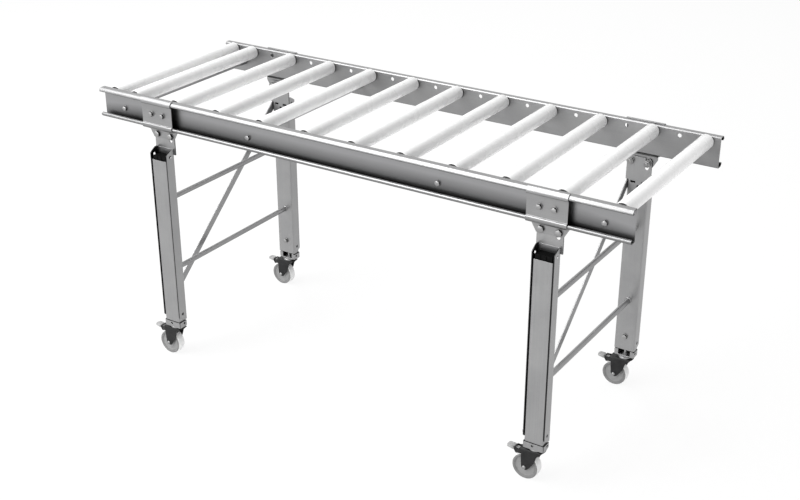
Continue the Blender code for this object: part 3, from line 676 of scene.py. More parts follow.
# Heights between which painted shade darkens down the inside of the leg's web.
LEG_WELL_TOP = 0.672
LEG_WELL = 0.648
LEG_LINES = (700, 700, 3)
HEAD_WIDTH = 0.072
HEAD_IN = 0.26455
HEAD_OUT = 0.26805
HEAD_TOP = RAIL_BASE - 0.009
HEAD_BASE = 0.6505
HEAD_CORNER = 0.010
SLOT_SWING = math.radians(18)
WEB_SLOT_X = 0.0155
WEB_SLOT_Z = HEAD_BASE - 0.0065
WEB_SLOT_LENGTH = 0.014
WEB_SLOT_HEIGHT = 0.0055
WEB_HOLE_Z = HEAD_BASE - 0.0185
CLAMP_Z = 0.167
BRACE_HOLE = 0.0085
BRACE_Y = 0.28535
BRACE_LOW = 0.146
BRACE_HIGH = 0.649
ARC_STEPS = 10
M10 = {"thread": 0.010, "flats": 0.017, "head": 0.0064, "nut": 0.008, "washer": 0.020}
PIVOT_SPIN = 0.35
SLOT_SPIN = 0.9
NUT_SPIN = 1.7
flange = LEG_WIDTH / 2 - half
leg_web = LEG_IN + half


def mirrored(points):
    return [(-x, y) for x, y in reversed(points)]


def oblong(left, right, low, high):
    return [(left, low), (right, low), (right, high), (left, high)]


def leg_high(point):
    """Top of an outer leg at a point of its section: the flanges slope down towards their free edges."""
    if abs(point.x) < flange - GAP:
        return RAIL_BASE - LEG_WEB_DROP
    if point.y > LEG_OUT - GAP:
        return RAIL_BASE - FLANGE_FRONT_DROP
    if point.y > LEG_OUT - FLANGE_NOSE - GAP:
        return RAIL_BASE - FLANGE_FRONT_DROP + FLANGE_NOSE
    return RAIL_BASE - FLANGE_BACK_DROP


def leg_low(point):
    """Foot of an outer leg: the free edges of the flanges are cut off at the corner."""
    return LEG_BASE + max(0, LEG_CHAMFER - (LEG_OUT - point.y))


def arc(middle, radius, start, stop, steps=ARC_STEPS):
    return [Vector(middle) + radius * Vector((math.cos(turn), math.sin(turn)))
            for turn in (start + (stop - start) * step / steps for step in range(steps + 1))]


flange_points = [(flange, LEG_OUT - FLANGE_SLOPE), (flange, LEG_OUT - FLANGE_NOSE), (flange, LEG_OUT)]
leg_path = fillet(mirrored(flange_points) + [(-flange, leg_web), (flange, leg_web)] + flange_points,
                  [0, 0, LEG_CORNER, LEG_CORNER, 0, 0])
head_outline = [(-HEAD_WIDTH / 2, HEAD_BASE), (HEAD_WIDTH / 2, HEAD_BASE)]
for x, start in ((HEAD_WIDTH / 2 - HEAD_CORNER, 0), (HEAD_CORNER - HEAD_WIDTH / 2, math.pi / 2)):
    head_outline += arc((x, HEAD_TOP - HEAD_CORNER), HEAD_CORNER, start, start + math.pi / 2)
pivot = Vector((PIVOT_X, PIVOT_Z))
slot_half = PIVOT_HOLE / 2
slot_low, slot_high = arc(pivot, SLOT_RADIUS, -SLOT_SWING, SLOT_SWING, 1)
slot_outline = arc(pivot, SLOT_RADIUS + slot_half, -SLOT_SWING, SLOT_SWING)
slot_outline += arc(slot_high, slot_half, SLOT_SWING, SLOT_SWING + math.pi)[1:-1]
slot_outline += arc(pivot, SLOT_RADIUS - slot_half, SLOT_SWING, -SLOT_SWING)
slot_outline += arc(slot_low, slot_half, math.pi - SLOT_SWING, math.tau - SLOT_SWING)[1:-1]
leg_zinc = zinc_sheet("galvanised_leg_strip", LEG_LINES)
# Painted shade: the inside of the leg's web darkens down towards the inner leg.
well_shade_zinc = shaded_by_height("painted_shade_leg_well", LEG_LINES, LEG_WELL_TOP, LEG_WELL)
for tag, end, ahead, sign in CORNERS:
    centre = ahead * LEG_X

    def on_leg(point, y):
        return Vector((centre + point.x, sign * y, point.y))

    head = bmesh.new()
    # Painted shade: the head plate's rim takes the near-black fold shade.
    paint(plate(head, head_outline, HEAD_IN, HEAD_OUT, on_leg), 1)
    holes = bmesh.new()
    plate(holes, slot_outline, HEAD_IN - half, LEG_IN + 2 * SHEET, on_leg)
    punch(holes, (centre + PIVOT_X, sign * HEAD_OUT, PIVOT_Z), ACROSS, PIVOT_HOLE)
    for x in (-flange, flange):
        for z in (BRACE_LOW, BRACE_HIGH):
            punch(holes, (centre + x, sign * BRACE_Y, z), ALONG, BRACE_HOLE)
    for z in (WEB_HOLE_Z, CLAMP_Z):
        punch(holes, (centre, sign * leg_web, z), ACROSS, BRACE_HOLE)
    for x in (-WEB_SLOT_X, WEB_SLOT_X):
        slit = oblong(x - WEB_SLOT_LENGTH / 2, x + WEB_SLOT_LENGTH / 2,
                      WEB_SLOT_Z - WEB_SLOT_HEIGHT / 2, WEB_SLOT_Z + WEB_SLOT_HEIGHT / 2)
        plate(holes, slit, LEG_IN - half, LEG_IN + SHEET + half, on_leg)
    # Painted shade: the flanges' insides take the near-black fold shade and the web's inside the shade that
    # darkens down the well.
    piece("leg_channel_" + tag,
          folded(leg_path, [leg_low(p) for p in leg_path], [leg_high(p) for p in leg_path],
                 lambda p, z: Vector((centre + p.x, sign * p.y, z)),
                 lambda p: 1 if abs(p.x) > flange - LEG_CORNER else 2),
          [leg_zinc, fold_shade_zinc, well_shade_zinc], "leg_frame_" + end, "outer_leg_" + tag,
          welded=[head], punched=holes, edge=SHEET_EDGE)
    bolts = bmesh.new()
    for x, spin in ((PIVOT_X, PIVOT_SPIN), (PIVOT_X + SLOT_RADIUS, SLOT_SPIN)):
        bolt(bolts, (centre + x, sign * (LUG_IN + SHEET), PIVOT_Z), (0, sign, 0), M10,
             LUG_IN + SHEET - HEAD_IN - GAP, spin * (2 + ahead * sign), washered=False)
        nut(bolts, (centre + x, sign * HEAD_IN, PIVOT_Z), (0, -sign, 0), M10, spin * NUT_SPIN)
    piece("pivot_bolts_" + tag, bolts, [bolt_zinc, fold_shade_zinc], "deck")

# Guide blocks: one black moulded block in the top of each outer leg, held by tongues in the web's slots and
# hole. The inner leg slides over it, and two grooves in its face keep it from sticking.
GUIDE_HALF = 0.0232
GUIDE_OUT = 0.2963
GUIDE_LOW = 0.6120
GUIDE_HIGH = 0.6494
GUIDE_CHAMFER = 0.0014
GUIDE_GROOVE = 0.0015
GUIDE_GROOVE_X = (0.0065, 0.0095)
# Near-black: the block's own black plastic, made darker still as painted shade in the top of the leg.
GUIDE_DARK = grey(0.004)
GUIDE_LIGHT = grey(0.008)
guide_levels = ((GUIDE_LOW, GUIDE_CHAMFER), (GUIDE_LOW + GUIDE_CHAMFER, 0),
                (GUIDE_HIGH - GUIDE_CHAMFER, 0), (GUIDE_HIGH, GUIDE_CHAMFER))
guide_plastic = moulded("black_guide_plastic", GUIDE_DARK, GUIDE_LIGHT, 700, 0.6, 0.03)
for tag, end, ahead, sign in CORNERS:
    rows = []
    for z, inset in guide_levels:
        wide = GUIDE_HALF - inset
        out = GUIDE_OUT - inset
        near, far = GUIDE_GROOVE_X
        right = [(wide, LEG_IN + SHEET), (wide, out), (far, out), (far, out - GUIDE_GROOVE),
                 (near, out - GUIDE_GROOVE), (near, out)]
        rows.append([Vector((ahead * LEG_X + x, sign * y, z)) for x, y in right + mirrored(right)])
    block = bmesh.new()
    loft(block, rows)
    piece("guide_block_" + tag, block, [guide_plastic], "leg_frame_" + end)

# Braces: two 15 mm tubes welded between the webs of each pair of legs and a 22 mm flat bar riveted across the
# legs' left faces. The weld runs round each end of a tube as a small rippled fillet.
TUBE_RADIUS = 0.0075
TUBE_END = LEG_IN - GAP
TUBE_LEVELS = {"low": 0.283, "high": 0.509}
TUBE_SIDES = 48
WELD_LEG = 0.0024
WELD_STEPS = 5
WELD_RIPPLES = 11
WELD_DEPTH = 0.00035
BAR_WIDTH = 0.022
BAR_THICK = 0.003
BAR_EDGE = 0.0005
BAR_X = -LEG_WIDTH / 2 - GAP
RIVET = 0.008
RIVET_HEAD = 0.007
RIVET_RISE = 0.0018
RIVET_RIM = 0.3
DOME_TURN = math.radians(80)
DOME_STEPS = 6
tube_zinc = zinc_sheet("zinc_brace_tube", (400, 4, 400), RAIL_DARK, RAIL_LIGHT)
bar_zinc = zinc_sheet("zinc_flat_bar", (500, 9, 9), RAIL_DARK, RAIL_LIGHT)


def weld_row(axis, radius, level):
    """A round row of the tube's end; the further out on the weld, the deeper its ripples."""
    depth = (radius - TUBE_RADIUS) / WELD_LEG * WELD_DEPTH
    row = []
    for step in range(TUBE_SIDES):
        turn = math.tau * step / TUBE_SIDES
        reach = radius + depth * math.cos(WELD_RIPPLES * turn)
        row.append(axis @ Vector((reach * math.cos(turn), reach * math.sin(turn), level)))
    return row


def rivet(bm, seat, out, size, head, rise, depth):
    """A round rivet head on a surface, its shank going in."""
    axis = axis_at(seat, out)
    rows = [circle(axis, size / 2, -depth), circle(axis, size / 2, 0), circle(axis, head, 0)]
    for step in range(DOME_STEPS + 1):
        turn = DOME_TURN * step / DOME_STEPS
        level = rise * (RIVET_RIM + (1 - RIVET_RIM) * math.sin(turn))
        rows.append(circle(axis, head * math.cos(turn), level))
    loft(bm, rows)


bar_low = Vector((-BRACE_Y, BRACE_LOW))
bar_high = Vector((BRACE_Y, BRACE_HIGH))
lean = math.atan2(BRACE_HIGH - BRACE_LOW, 2 * BRACE_Y)
bar_outline = arc(bar_high, BAR_WIDTH / 2, lean - math.pi / 2, lean + math.pi / 2, 2 * ARC_STEPS)
bar_outline += arc(bar_low, BAR_WIDTH / 2, lean + math.pi / 2, lean + 3 * math.pi / 2, 2 * ARC_STEPS)
flare = [(TUBE_RADIUS + WELD_LEG * (1 - math.sin(turn)), TUBE_END - WELD_LEG * (1 - math.cos(turn)))
         for turn in (math.pi / 2 * step / WELD_STEPS for step in range(WELD_STEPS + 1))]
tube_profile = [(radius, -level) for radius, level in flare] + flare[::-1]
for end, ahead in ENDS.items():
    centre = ahead * LEG_X
    for name, z in TUBE_LEVELS.items():
        tube = bmesh.new()
        axis = axis_at((centre, 0, z), ACROSS)
        loft(tube, [weld_row(axis, radius, level) for radius, level in tube_profile])
        piece(f"brace_tube_{end}_{name}", tube, [tube_zinc], "leg_frame_" + end,
              f"cross_tube_{end}_{name}")
    bar = bmesh.new()
    plate(bar, bar_outline, BAR_X, BAR_X - BAR_THICK, lambda p, x: Vector((centre + x, p.x, p.y)))
    holes = bmesh.new()
    rivets = bmesh.new()
    for y, z in (bar_low, bar_high):
        outer = centre + BAR_X - BAR_THICK
        punch(holes, (outer + BAR_THICK / 2, y, z), ALONG, BRACE_HOLE)
        rivet(rivets, (outer, y, z), (-1, 0, 0), RIVET, RIVET_HEAD, RIVET_RISE, BAR_THICK)
        rivet(rivets, (centre - flange + half, y, z), ALONG, RIVET, RIVET_HEAD, RIVET_RISE, SHEET)
    piece("flat_bar_" + end, bar, [bar_zinc], "leg_frame_" + end, "diagonal_brace_" + end,
          punched=holes, edge=BAR_EDGE)
    piece("bar_rivets_" + end, rivets, [bolt_zinc], "leg_frame_" + end)

# Inner legs: channels that slide in the outer ones, each welded into a folded foot with the castor's upper
# ball race and stem nut. An M8 clamp screw through the outer leg's web holds the height.
INNER_WIDTH = 0.053
INNER_IN = 0.27185
INNER_OUT = 0.29935
INNER_TOP = 0.6375
INNER_CORNER = 0.0014
CASTOR_Y = 0.28035
CASTOR_HEIGHT = 0.101
FOOT_TOP = 0.1205
FOOT_FLOOR = 0.003
FOOT_OVERHANG = 0.0036
FOOT_PROUD = 0.0015
FOOT_RECESS = 0.003
FOOT_CHAMFER = 0.008
FOOT_HOLE = 0.007
FOOT_HOLE_SHIFT = -0.0025
FOOT_FLAP = 0.0115
FOOT_SLIT = 0.0016
FOOT_SLIT_DEPTH = 0.0040
FOOT_GROOVE = 0.0008
FOOT_DROP = 0.0015
RACE_RADIUS = 0.019
RACE_HEIGHT = 0.006
RACE_SIDES = 48
STEM_NUT_FLATS = 0.013
STEM_NUT = 0.0045
STEM_END = 0.0175
CLAMP_REACH = 0.014
CLAMP_SPIN = 0.5
CLAMP_SPIN_END = 0.4
WELD_LAP = 0.0007
inner = INNER_WIDTH / 2 - half
inner_path = fillet(
    [(inner, INNER_IN), (inner, INNER_OUT - half), (-inner, INNER_OUT - half), (-inner, INNER_IN)],
    [INNER_CORNER, INNER_CORNER])
foot = INNER_WIDTH / 2 + FOOT_OVERHANG - half
foot_front = INNER_OUT + FOOT_PROUD - half
foot_back = LEG_IN + FOOT_RECESS
foot_path = fillet(
    [(-foot, foot_back), (-foot, foot_back + FOOT_CHAMFER), (-foot, foot_front), (foot, foot_front),
     (foot, foot_back + FOOT_CHAMFER), (foot, foot_back)], [0, LEG_CORNER, LEG_CORNER, 0])
foot_low = [CASTOR_HEIGHT + (FOOT_CHAMFER if p.y < foot_back + GAP else 0) for p in foot_path]
floor_top = CASTOR_HEIGHT + FOOT_FLOOR
foot_middle = (floor_top + FOOT_TOP) / 2
flap_out = foot + half - GAP
race_profile = [(RACE_RADIUS - 0.0012, 0.0), (RACE_RADIUS - 0.0004, 0.0004), (RACE_RADIUS, 0.0013),
                (RACE_RADIUS, 0.0042), (RACE_RADIUS - 0.0005, 0.0050), (RACE_RADIUS - 0.0018, 0.0054),
                (RACE_RADIUS - 0.0022, RACE_HEIGHT + WELD_LAP)]
groove_in = INNER_WIDTH / 2 - FOOT_GROOVE
rim = [(groove_in, LEG_IN), (foot + SHEET, LEG_IN), (foot + SHEET, foot_front + SHEET)]
groove = rim + mirrored(rim) + [(x, INNER_OUT - FOOT_GROOVE) for x in (-groove_in, groove_in)]
for tag, end, ahead, sign in CORNERS:
    centre = ahead * LEG_X

    def on_slide(point, z):
        return Vector((centre + point.x, sign * point.y, z))

    walls = folded(foot_path, foot_low, [FOOT_TOP] * len(foot_path), on_slide)
    base = bmesh.new()
    plate(base, oblong(-foot, foot, foot_back, foot_front), CASTOR_HEIGHT, floor_top, on_slide)
    stem = axis_at((centre, sign * CASTOR_Y, CASTOR_HEIGHT - RACE_HEIGHT), UP)
    race = bmesh.new()
    loft(race, [circle(stem, radius, level, RACE_SIDES) for radius, level in race_profile])
    top = bmesh.new()
    nut_low = RACE_HEIGHT + FOOT_FLOOR
    nut_high = nut_low + STEM_NUT
    loft(top, [hexagon(stem, STEM_NUT_FLATS, nut_low - WELD_LAP)] +
         hex_head(stem, STEM_NUT_FLATS, nut_low, nut_high) +
         thread_end(stem, M8["thread"], nut_high, nut_low + STEM_END - M8["thread"] / 10))
    holes = bmesh.new()
    punch(holes, (centre + FOOT_HOLE_SHIFT, sign * foot_front, foot_middle), ACROSS, FOOT_HOLE)
    flaps = bmesh.new()
    for way in (-1, 1):
        punch(holes, (centre + way * foot, sign * CASTOR_Y, foot_middle), ALONG, FOOT_HOLE)
        flap = oblong(way * (flap_out - FOOT_FLAP), way * flap_out, foot_back, foot_back + SHEET)
        plate(flaps, flap, floor_top - WELD_LAP, FOOT_TOP, on_slide)
        corner = Vector((way * (foot + half), foot_front + half))
        inward = Vector((-way, -1)).normalized()
        across = Vector((-inward.y, inward.x)) * FOOT_SLIT / 2
        start = corner - inward * FOOT_SLIT_DEPTH / 2
        stop = corner + inward * FOOT_SLIT_DEPTH
        plate(holes, [start + across, start - across, stop - across, stop + across],
              floor_top + half, FOOT_TOP - FOOT_DROP - GAP / 2, on_slide)
    plate(holes, groove, FOOT_TOP - FOOT_DROP, FOOT_TOP + GAP, on_slide)
    # Painted shade: the walls of the foot's groove, slits and holes take the near-black fold shade.
    paint(holes.faces, 1)
    # Painted shade: the slide channel's inside face and cut edges take the near-black fold shade.
    piece("slide_channel_" + tag,
          folded(inner_path, [floor_top - WELD_LAP] * len(inner_path), [INNER_TOP] * len(inner_path),
                 on_slide, lambda p: 1),
          [leg_zinc, fold_shade_zinc], "extension_" + tag, "inner_leg_" + tag,
          welded=[walls, base, race, top, flaps], punched=holes, edge=SHEET_EDGE)
    screw = bmesh.new()
    bolt(screw, (centre, sign * LEG_IN, CLAMP_Z), (0, -sign, 0), M8, CLAMP_REACH,
         CLAMP_SPIN + CLAMP_SPIN_END * ahead)
    piece("clamp_screw_" + tag, screw, [bolt_zinc, fold_shade_zinc], "leg_frame_" + end)

# Castor forks: pressed from 2.5 mm sheet and coated dark. The crown over the wheel closes in at the back to
# two ears with a bar across, and is open above the pedal. Two plates go down to the wheel's axle, which is
# riveted over.
WHEEL_RADIUS = 0.0375
WHEEL_HALF = 0.013
WHEEL_GAP = 0.00175
TRAIL = 0.0245
FORK_PLATE = WHEEL_HALF + WHEEL_GAP + half
FORK_CROWN = 0.0262
FORK_ROUND = 0.80
FORK_FRONT = 0.0080
FORK_WAIST = 0.011
FORK_NECK = 0.0255
FORK_BACK = 0.0345
FORK_PINCH = 0.62
FORK_LEAN = 0.80
FORK_SLOPE = 0.0065
FORK_BEND = 0.003
FORK_EYE = 0.0070
FORK_TOE = 0.0022
FORK_TOE_FRONT = 0.0100
FORK_TOE_DEPTH = 0.0072
FORK_EDGE = 0.0004
EAR_Z = 0.0755
EAR_SINK = 0.0080
EAR_TOP = 0.0840
CROWN_Z = CASTOR_HEIGHT - RACE_HEIGHT - GAP - half
BEND_STEPS = 4
SPAN_STEPS = 4
TOE_STEPS = 5
EDGE_RUN = 3
PIN_HEAD = 0.0052
PIN_RISE = 0.0040
AXLE_PIN = 0.008
FORK_DARK = grey(0.008, 0.0003)
FORK_LIGHT = grey(0.016, 0.0005)
FORK_PEEL = 700
FORK_DUST = 45
PEEL_RELIEF = 0.0001
ROOF_SHARES = (0.6, 0.3)
# Height of a point of the plates' edges over the wheel's axle, and how far back and front they are from it.
plate_edges = ((0.018, -0.0098, 0.0258), (FORK_BEND, -0.0086, 0.0155))
fork_opening = [(-0.066, EAR_TOP), (-0.0455, EAR_TOP), (-0.0385, CROWN_Z), (-0.0385, CASTOR_HEIGHT),
                (-0.066, CASTOR_HEIGHT)]
ear_corner = [(-0.0602, 0.0790), (-0.0535, 0.0680), (-0.0500, 0.0600), (-0.066, 0.0600), (-0.066, 0.0790)]
ear_bar = oblong(-0.0589, -0.0570, 0.0818, 0.0838)
fork_coat = surface("dark_fork_coat", {"Specular IOR Level": 0.22})
peel = fork_coat.noise(FORK_PEEL, 2)
dust = fork_coat.noise(FORK_DUST, 4)
fork_coat.coat(fork_coat.tint(fork_coat.spread(dust, 0.35, 0.7), FORK_DARK, FORK_LIGHT), 0.36 + 0.16 * dust,
               peel, depth=PEEL_RELIEF, strength=0.3)


def smooth_run(points, steps):
    """A smooth run through a few points, with so many steps between neighbours."""
    points = [Vector(point) for point in points]
    padded = [2 * points[0] - points[1]] + points + [2 * points[-1] - points[-2]]
    run = []
    for before, start, stop, after in zip(padded, padded[1:], padded[2:], padded[3:]):
        for step in range(steps):
            t = step / steps
            run.append(0.5 * (2 * start + (stop - before) * t
                              + (2 * before - 5 * start + 4 * stop - after) * t ** 2
                              + (3 * start - before - 3 * stop + after) * t ** 3))
    return run + [points[-1]]


def crown_reach(y):
    """How far the crown's blunt front reaches past the stem at a distance from the middle."""
    return math.sqrt(FORK_CROWN ** 2 - FORK_ROUND * y ** 2)


def bridge(bm, first, second):
    """Faces between two open rows of points."""
    for index in range(len(first) - 1):
        bm.faces.new((first[index], first[index + 1], second[index + 1], second[index]))


def fork_skin():
    """The middle of the fork's sheet, from the stem's axis."""
    bm = bmesh.new()
    bend = [(FORK_PLATE - FORK_BEND * (1 - math.cos(turn)), CROWN_Z - FORK_BEND * (1 - math.sin(turn)))
            for turn in (math.pi / 2 * step / BEND_STEPS for step in range(BEND_STEPS + 1))]
    edge = [(FORK_PLATE, EAR_Z, FORK_FRONT), (FORK_PLATE, EAR_Z + FORK_BEND, FORK_FRONT + FORK_BEND / 2)]
    side = [(y, z, crown_reach(y)) for y, z in bend]
    edge.append((FORK_PLATE, (EAR_Z + CROWN_Z) / 2, (edge[-1][2] + side[0][2]) / 2))
    roof = [(y, CROWN_Z, crown_reach(y)) for y in (FORK_PLATE * share for share in ROOF_SHARES)]
    near = edge + side + roof
    rows = []
    for y, z, front in near + [(0, CROWN_Z, FORK_CROWN)] + [(-y, z, x) for y, z, x in reversed(near)]:
        rise = (z - EAR_Z) / (CROWN_Z - EAR_Z)
        low = z - rise * FORK_SLOPE - (1 - rise) * EAR_SINK
        waist = y * (1 - rise * (1 - FORK_LEAN))
        columns = smooth_run([(-TRAIL - FORK_BACK, y * FORK_PINCH, low),
                              (-TRAIL - FORK_NECK, y * FORK_PINCH, low + (1 - rise) * EAR_SINK / 5),
                              (-TRAIL - FORK_WAIST, waist, z - rise * FORK_SLOPE / 2),
                              (front, y, z)], SPAN_STEPS)
        rows.append([bm.verts.new(point) for point in columns])
    for low, high in zip(rows, rows[1:]):
        bridge(bm, low, high)
    back = [(-TRAIL - FORK_WAIST, EAR_Z)] + [(-TRAIL + x, WHEEL_RADIUS + z) for z, x, _ in plate_edges]
    fore = [(FORK_FRONT, EAR_Z)] + [(-TRAIL + x, WHEEL_RADIUS + z) for z, _, x in plate_edges]
    for step in range(1, TOE_STEPS + 1):
        turn = DOME_TURN * step / TOE_STEPS
        drop = WHEEL_RADIUS - FORK_TOE_DEPTH * math.sin(turn)
        back.append((-TRAIL + FORK_TOE - (FORK_EYE + FORK_TOE) * math.cos(turn), drop))
        fore.append((-TRAIL + FORK_TOE + FORK_TOE_FRONT * math.cos(turn), drop))
    spans = list(zip(smooth_run(back, EDGE_RUN)[1:], smooth_run(fore, EDGE_RUN)[1:]))
    for top, y in ((rows[0], FORK_PLATE), (rows[-1], -FORK_PLATE)):
        above = top[2 * SPAN_STEPS:]
        count = len(above) - 1
        for start, stop in spans:
            points = [start + (stop - start) * index / count for index in range(count + 1)]
            below = [bm.verts.new((point.x, y, point.y)) for point in points]
            bridge(bm, above, below)
            above = below
    return bm


for tag, end, ahead, sign in CORNERS:
    stem = Vector((ahead * LEG_X, sign * CASTOR_Y, 0))

    def on_fork(point, y):
        return stem + Vector((point.x, y, point.y))

    fork = fork_skin()
    bmesh.ops.translate(fork, verts=fork.verts[:], vec=stem)
    opening = bmesh.new()
    for outline in (fork_opening, ear_corner):
        plate(opening, outline, -FORK_PLATE, FORK_PLATE, on_fork)
    bar = bmesh.new()
    plate(bar, ear_bar, -FORK_PLATE * FORK_PINCH, FORK_PLATE * FORK_PINCH, on_fork)
    piece("fork_press_" + tag, fork, [fork_coat], "swivel_" + tag, "castor_fork_" + tag,
          sheet=SHEET, welded=[bar], punched=opening, edge=FORK_EDGE)
    pin = bmesh.new()
    for way in (-1, 1):
        seat = stem + Vector((-TRAIL, way * (FORK_PLATE + half), WHEEL_RADIUS))
        rivet(pin, seat, (0, way, 0), AXLE_PIN, PIN_HEAD, PIN_RISE, FORK_PLATE + half)
    piece("axle_rivet_" + tag, pin, [bolt_zinc], "swivel_" + tag)

# Castor wheels: a grey rubber tyre on a moulded centre with a sunk disc and a raised hub, 75 mm in diameter.
# The tread is the same grey rubber as the sides; its far paler colour is painted light.
WHEEL_BORE = 0.0046
WHEEL_SIDES = 72
# Painted light: the tread's tones are the side rubber's, made far paler.
TREAD_LIT_DARK = grey(0.86)
TREAD_LIT_LIGHT = grey(0.94)
SIDE_DARK = grey(0.165)
SIDE_LIGHT = grey(0.215)
DISC_DARK = grey(0.215)
DISC_LIGHT = grey(0.27)
DISC_STEPS = 11
SIDE_STEPS = 17
wheel_half = [(WHEEL_BORE, 0.0128), (0.0058, 0.0130), (0.0088, 0.0130), (0.0096, 0.0126), (0.0102, 0.0112),
              (0.0112, 0.0104), (0.0126, 0.0101), (0.0200, 0.0098), (0.0262, 0.0100), (0.0272, 0.0104),
              (0.0277, 0.0107), (0.0280, 0.0103), (0.0283, 0.0107), (0.0292, 0.0114), (0.0315, 0.0125),
              (0.0338, 0.0129), (0.0352, 0.0127), (0.0362, 0.0121), (0.0369, 0.0111), (0.0373, 0.0096),
              (WHEEL_RADIUS, 0.0060)]
wheel_finishes = [moulded("moulded_wheel_centre", DISC_DARK, DISC_LIGHT, 600, 0.38),
                  moulded("grey_tyre_side", SIDE_DARK, SIDE_LIGHT, 900, 0.5),
                  moulded("grey_tyre_tread_painted_light", TREAD_LIT_DARK, TREAD_LIT_LIGHT, 900, 0.55)]
for tag, end, ahead, sign in CORNERS:
    wheel = bmesh.new()
    axis = axis_at((ahead * LEG_X - TRAIL, sign * CASTOR_Y, WHEEL_RADIUS), ACROSS)
    steps = turned(wheel, wheel_half + other_end(wheel_half), axis, WHEEL_SIDES)
    for index, faces in enumerate(steps):
        depth = min(index, len(steps) - 2 - index)
        paint(faces, 0 if depth < DISC_STEPS else 1 if depth < SIDE_STEPS else 2)
    piece("wheel_tyre_" + tag, wheel, wheel_finishes, "wheel_" + tag, "castor_wheel_" + tag)

# Brake pedals: a moulded light grey lever between the fork's ears, which steps up behind their bar to a
# wedge-shaped tab with a level top and two round corners. It turns on a pin between the ears.
PEDAL_X = -TRAIL - FORK_NECK
PEDAL_Z = 0.081
PEDAL_CORNER = 0.0045
PEDAL_EDGE = 0.0010
EDGE_ARC_STEPS = 3
PEDAL_DARK = grey(0.30)
PEDAL_LIGHT = grey(0.38)
pedal_plastic = moulded("light_pedal_plastic", PEDAL_DARK, PEDAL_LIGHT, 800, 0.4)
# Each station: distance back from the pivot, half width, top and underside.
pedal_stations = [(-0.0190, 0.0066, -0.0018, -0.0046), (-0.0178, 0.00775, -0.0010, -0.0056),
                  (0.0085, 0.00775, -0.0010, -0.0060), (0.0105, 0.00775, 0.0022, -0.0060),
                  (0.0120, 0.0092, 0.0030, -0.0060), (0.0135, 0.0100, 0.0032, -0.0059),
                  (0.0200, 0.0100, 0.0034, -0.0045)]
for point in arc((0.0265, 0.0055), PEDAL_CORNER, math.pi / 2, 0):
    pedal_stations.append((point.x, point.y, 0.0031, -0.0029))
pedal_stations.append((0.0316, 0.0047, 0.0022, -0.0020))


def rounded(half_width, low, high, radius):
    """A rounded rectangle of points (y, z)."""
    row = []
    for quarter, (way, level) in enumerate(((1, high - radius), (-1, high - radius),
                                            (-1, low + radius), (1, low + radius))):
        start = quarter * math.pi / 2
        row += arc((way * (half_width - radius), level), radius, start, start + math.pi / 2, EDGE_ARC_STEPS)
    return row


for tag, end, ahead, sign in CORNERS:
    place = Vector((ahead * LEG_X + PEDAL_X, sign * CASTOR_Y, PEDAL_Z))
    pedal = bmesh.new()
    loft(pedal, [[place + Vector((-back, point.x, point.y))
                  for point in rounded(reach, low, high, PEDAL_EDGE)]
                 for back, reach, high, low in pedal_stations])
    piece("pedal_tab_" + tag, pedal, [pedal_plastic], "pedal_" + tag, "brake_pedal_" + tag)

# Studio: a plain pale floor, one large soft lamp from the upper left, a weak fill at the right end and an
# even white surround. The camera stands at the front right, above the table.
WHITE = grey(1)
FLOOR_SIZE = 30.0
FLOOR_PALE = grey(0.90)
FLOOR_WHITE = 0.86
SURROUND = 0.44
LAMP_AIM = Vector((0, 0, 0.5))
LAMP_FROM = Vector((-0.489, -0.470, 0.735))
LAMP_ALONG = Vector((0, 0.8425, 0.5387))
LAMP_DISTANCE = 6.0
LAMP_WIDTH = 3.4
LAMP_LENGTH = 14.0
LAMP_POWER = 850
FILL_PLACE = (1.75, 0.1, 1.05)
FILL_SIZE = 0.8
FILL_POWER = 4
CAMERA_PLACE = (1.8100, -2.8002, 1.9632)
CAMERA_TURN = (math.radians(64.778), 0, math.radians(32.686))
CAMERA_LENS = 57.71
CAMERA_SENSOR = 36.0


def seen(finish):
    """1 for rays that show the background: to the camera, off a shiny surface or through a clear one."""
    rays = [finish.node("ShaderNodeLightPath", output=name)
            for name in ("Is Camera Ray", "Is Glossy Ray", "Is Transmission Ray")]
    return rays[0].math("MAXIMUM", rays[0].math("MAXIMUM", rays[0], rays[1]), rays[2])


def show(finish, share, other, output):
    """Mixes a second shader over the finish's own by a share and sends both to the output."""
    own = Wire(finish, finish.shader.outputs[0])
    both = finish.node("ShaderNodeMixShader", {}, {0: share, 1: own, 2: other})
    finish.feed(finish.tree.nodes[output], {"Surface": both})


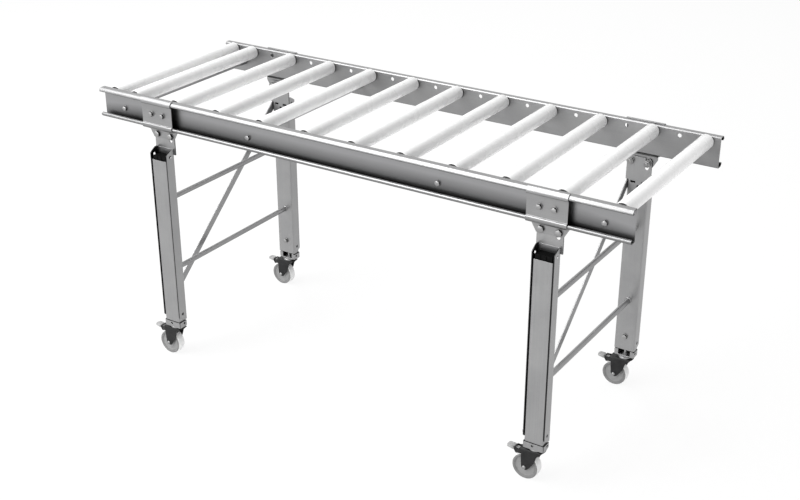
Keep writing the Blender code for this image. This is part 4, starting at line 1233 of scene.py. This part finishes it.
def soft_lamp(name, wide, tall, power, place, along, back):
    """A lit panel; along is the way of its height and back the way from what it lights to the panel."""
    lamp = bpy.data.lights.new(name, "AREA")
    lamp.shape = "RECTANGLE"
    lamp.size = wide
    lamp.size_y = tall
    lamp.energy = power
    stand = bpy.data.objects.new(name, lamp)
    stand.location = place
    stand.rotation_euler = Matrix((along.cross(back), along, back)).transposed().to_euler()
    bpy.context.scene.collection.objects.link(stand)
    return stand


ground = bmesh.new()
reach = FLOOR_SIZE / 2
ground.faces.new([ground.verts.new((x, y, 0)) for x, y in oblong(-reach, reach, -reach, reach)])
floor = mesh_item("studio_floor", ground)
floor_finish = surface("pale_floor", {"Roughness": 1.0, "Specular IOR Level": 0.0, "Base Color": FLOOR_PALE})
glow = floor_finish.node("ShaderNodeEmission", {}, {"Color": WHITE, "Strength": 1.0})
show(floor_finish, FLOOR_WHITE * seen(floor_finish), glow, "Material Output")
floor.data.materials.append(floor_finish.owner)

studio = bpy.data.worlds.new("studio_surround")
surround = Finish(studio, "Background", {"Color": WHITE, "Strength": SURROUND})
white = surround.node("ShaderNodeBackground", {}, {"Color": WHITE, "Strength": 1.0})
show(surround, seen(surround), white, "World Output")
bpy.context.scene.world = studio

soft_lamp("soft_lamp", LAMP_WIDTH, LAMP_LENGTH, LAMP_POWER, LAMP_AIM + LAMP_FROM * LAMP_DISTANCE,
          LAMP_ALONG, LAMP_FROM)
fill = soft_lamp("fill_lamp", FILL_SIZE, FILL_SIZE, FILL_POWER, FILL_PLACE, Vector(UP), Vector(ALONG))
fill.visible_glossy = False

camera = bpy.data.cameras.new("camera")
camera.sensor_fit = "HORIZONTAL"
camera.sensor_width = CAMERA_SENSOR
camera.lens = CAMERA_LENS
camera_stand = bpy.data.objects.new("camera", camera)
camera_stand.location = CAMERA_PLACE
camera_stand.rotation_euler = CAMERA_TURN
bpy.context.scene.collection.objects.link(camera_stand)
bpy.context.scene.camera = camera_stand
bpy.context.scene.view_settings.view_transform = "Standard"
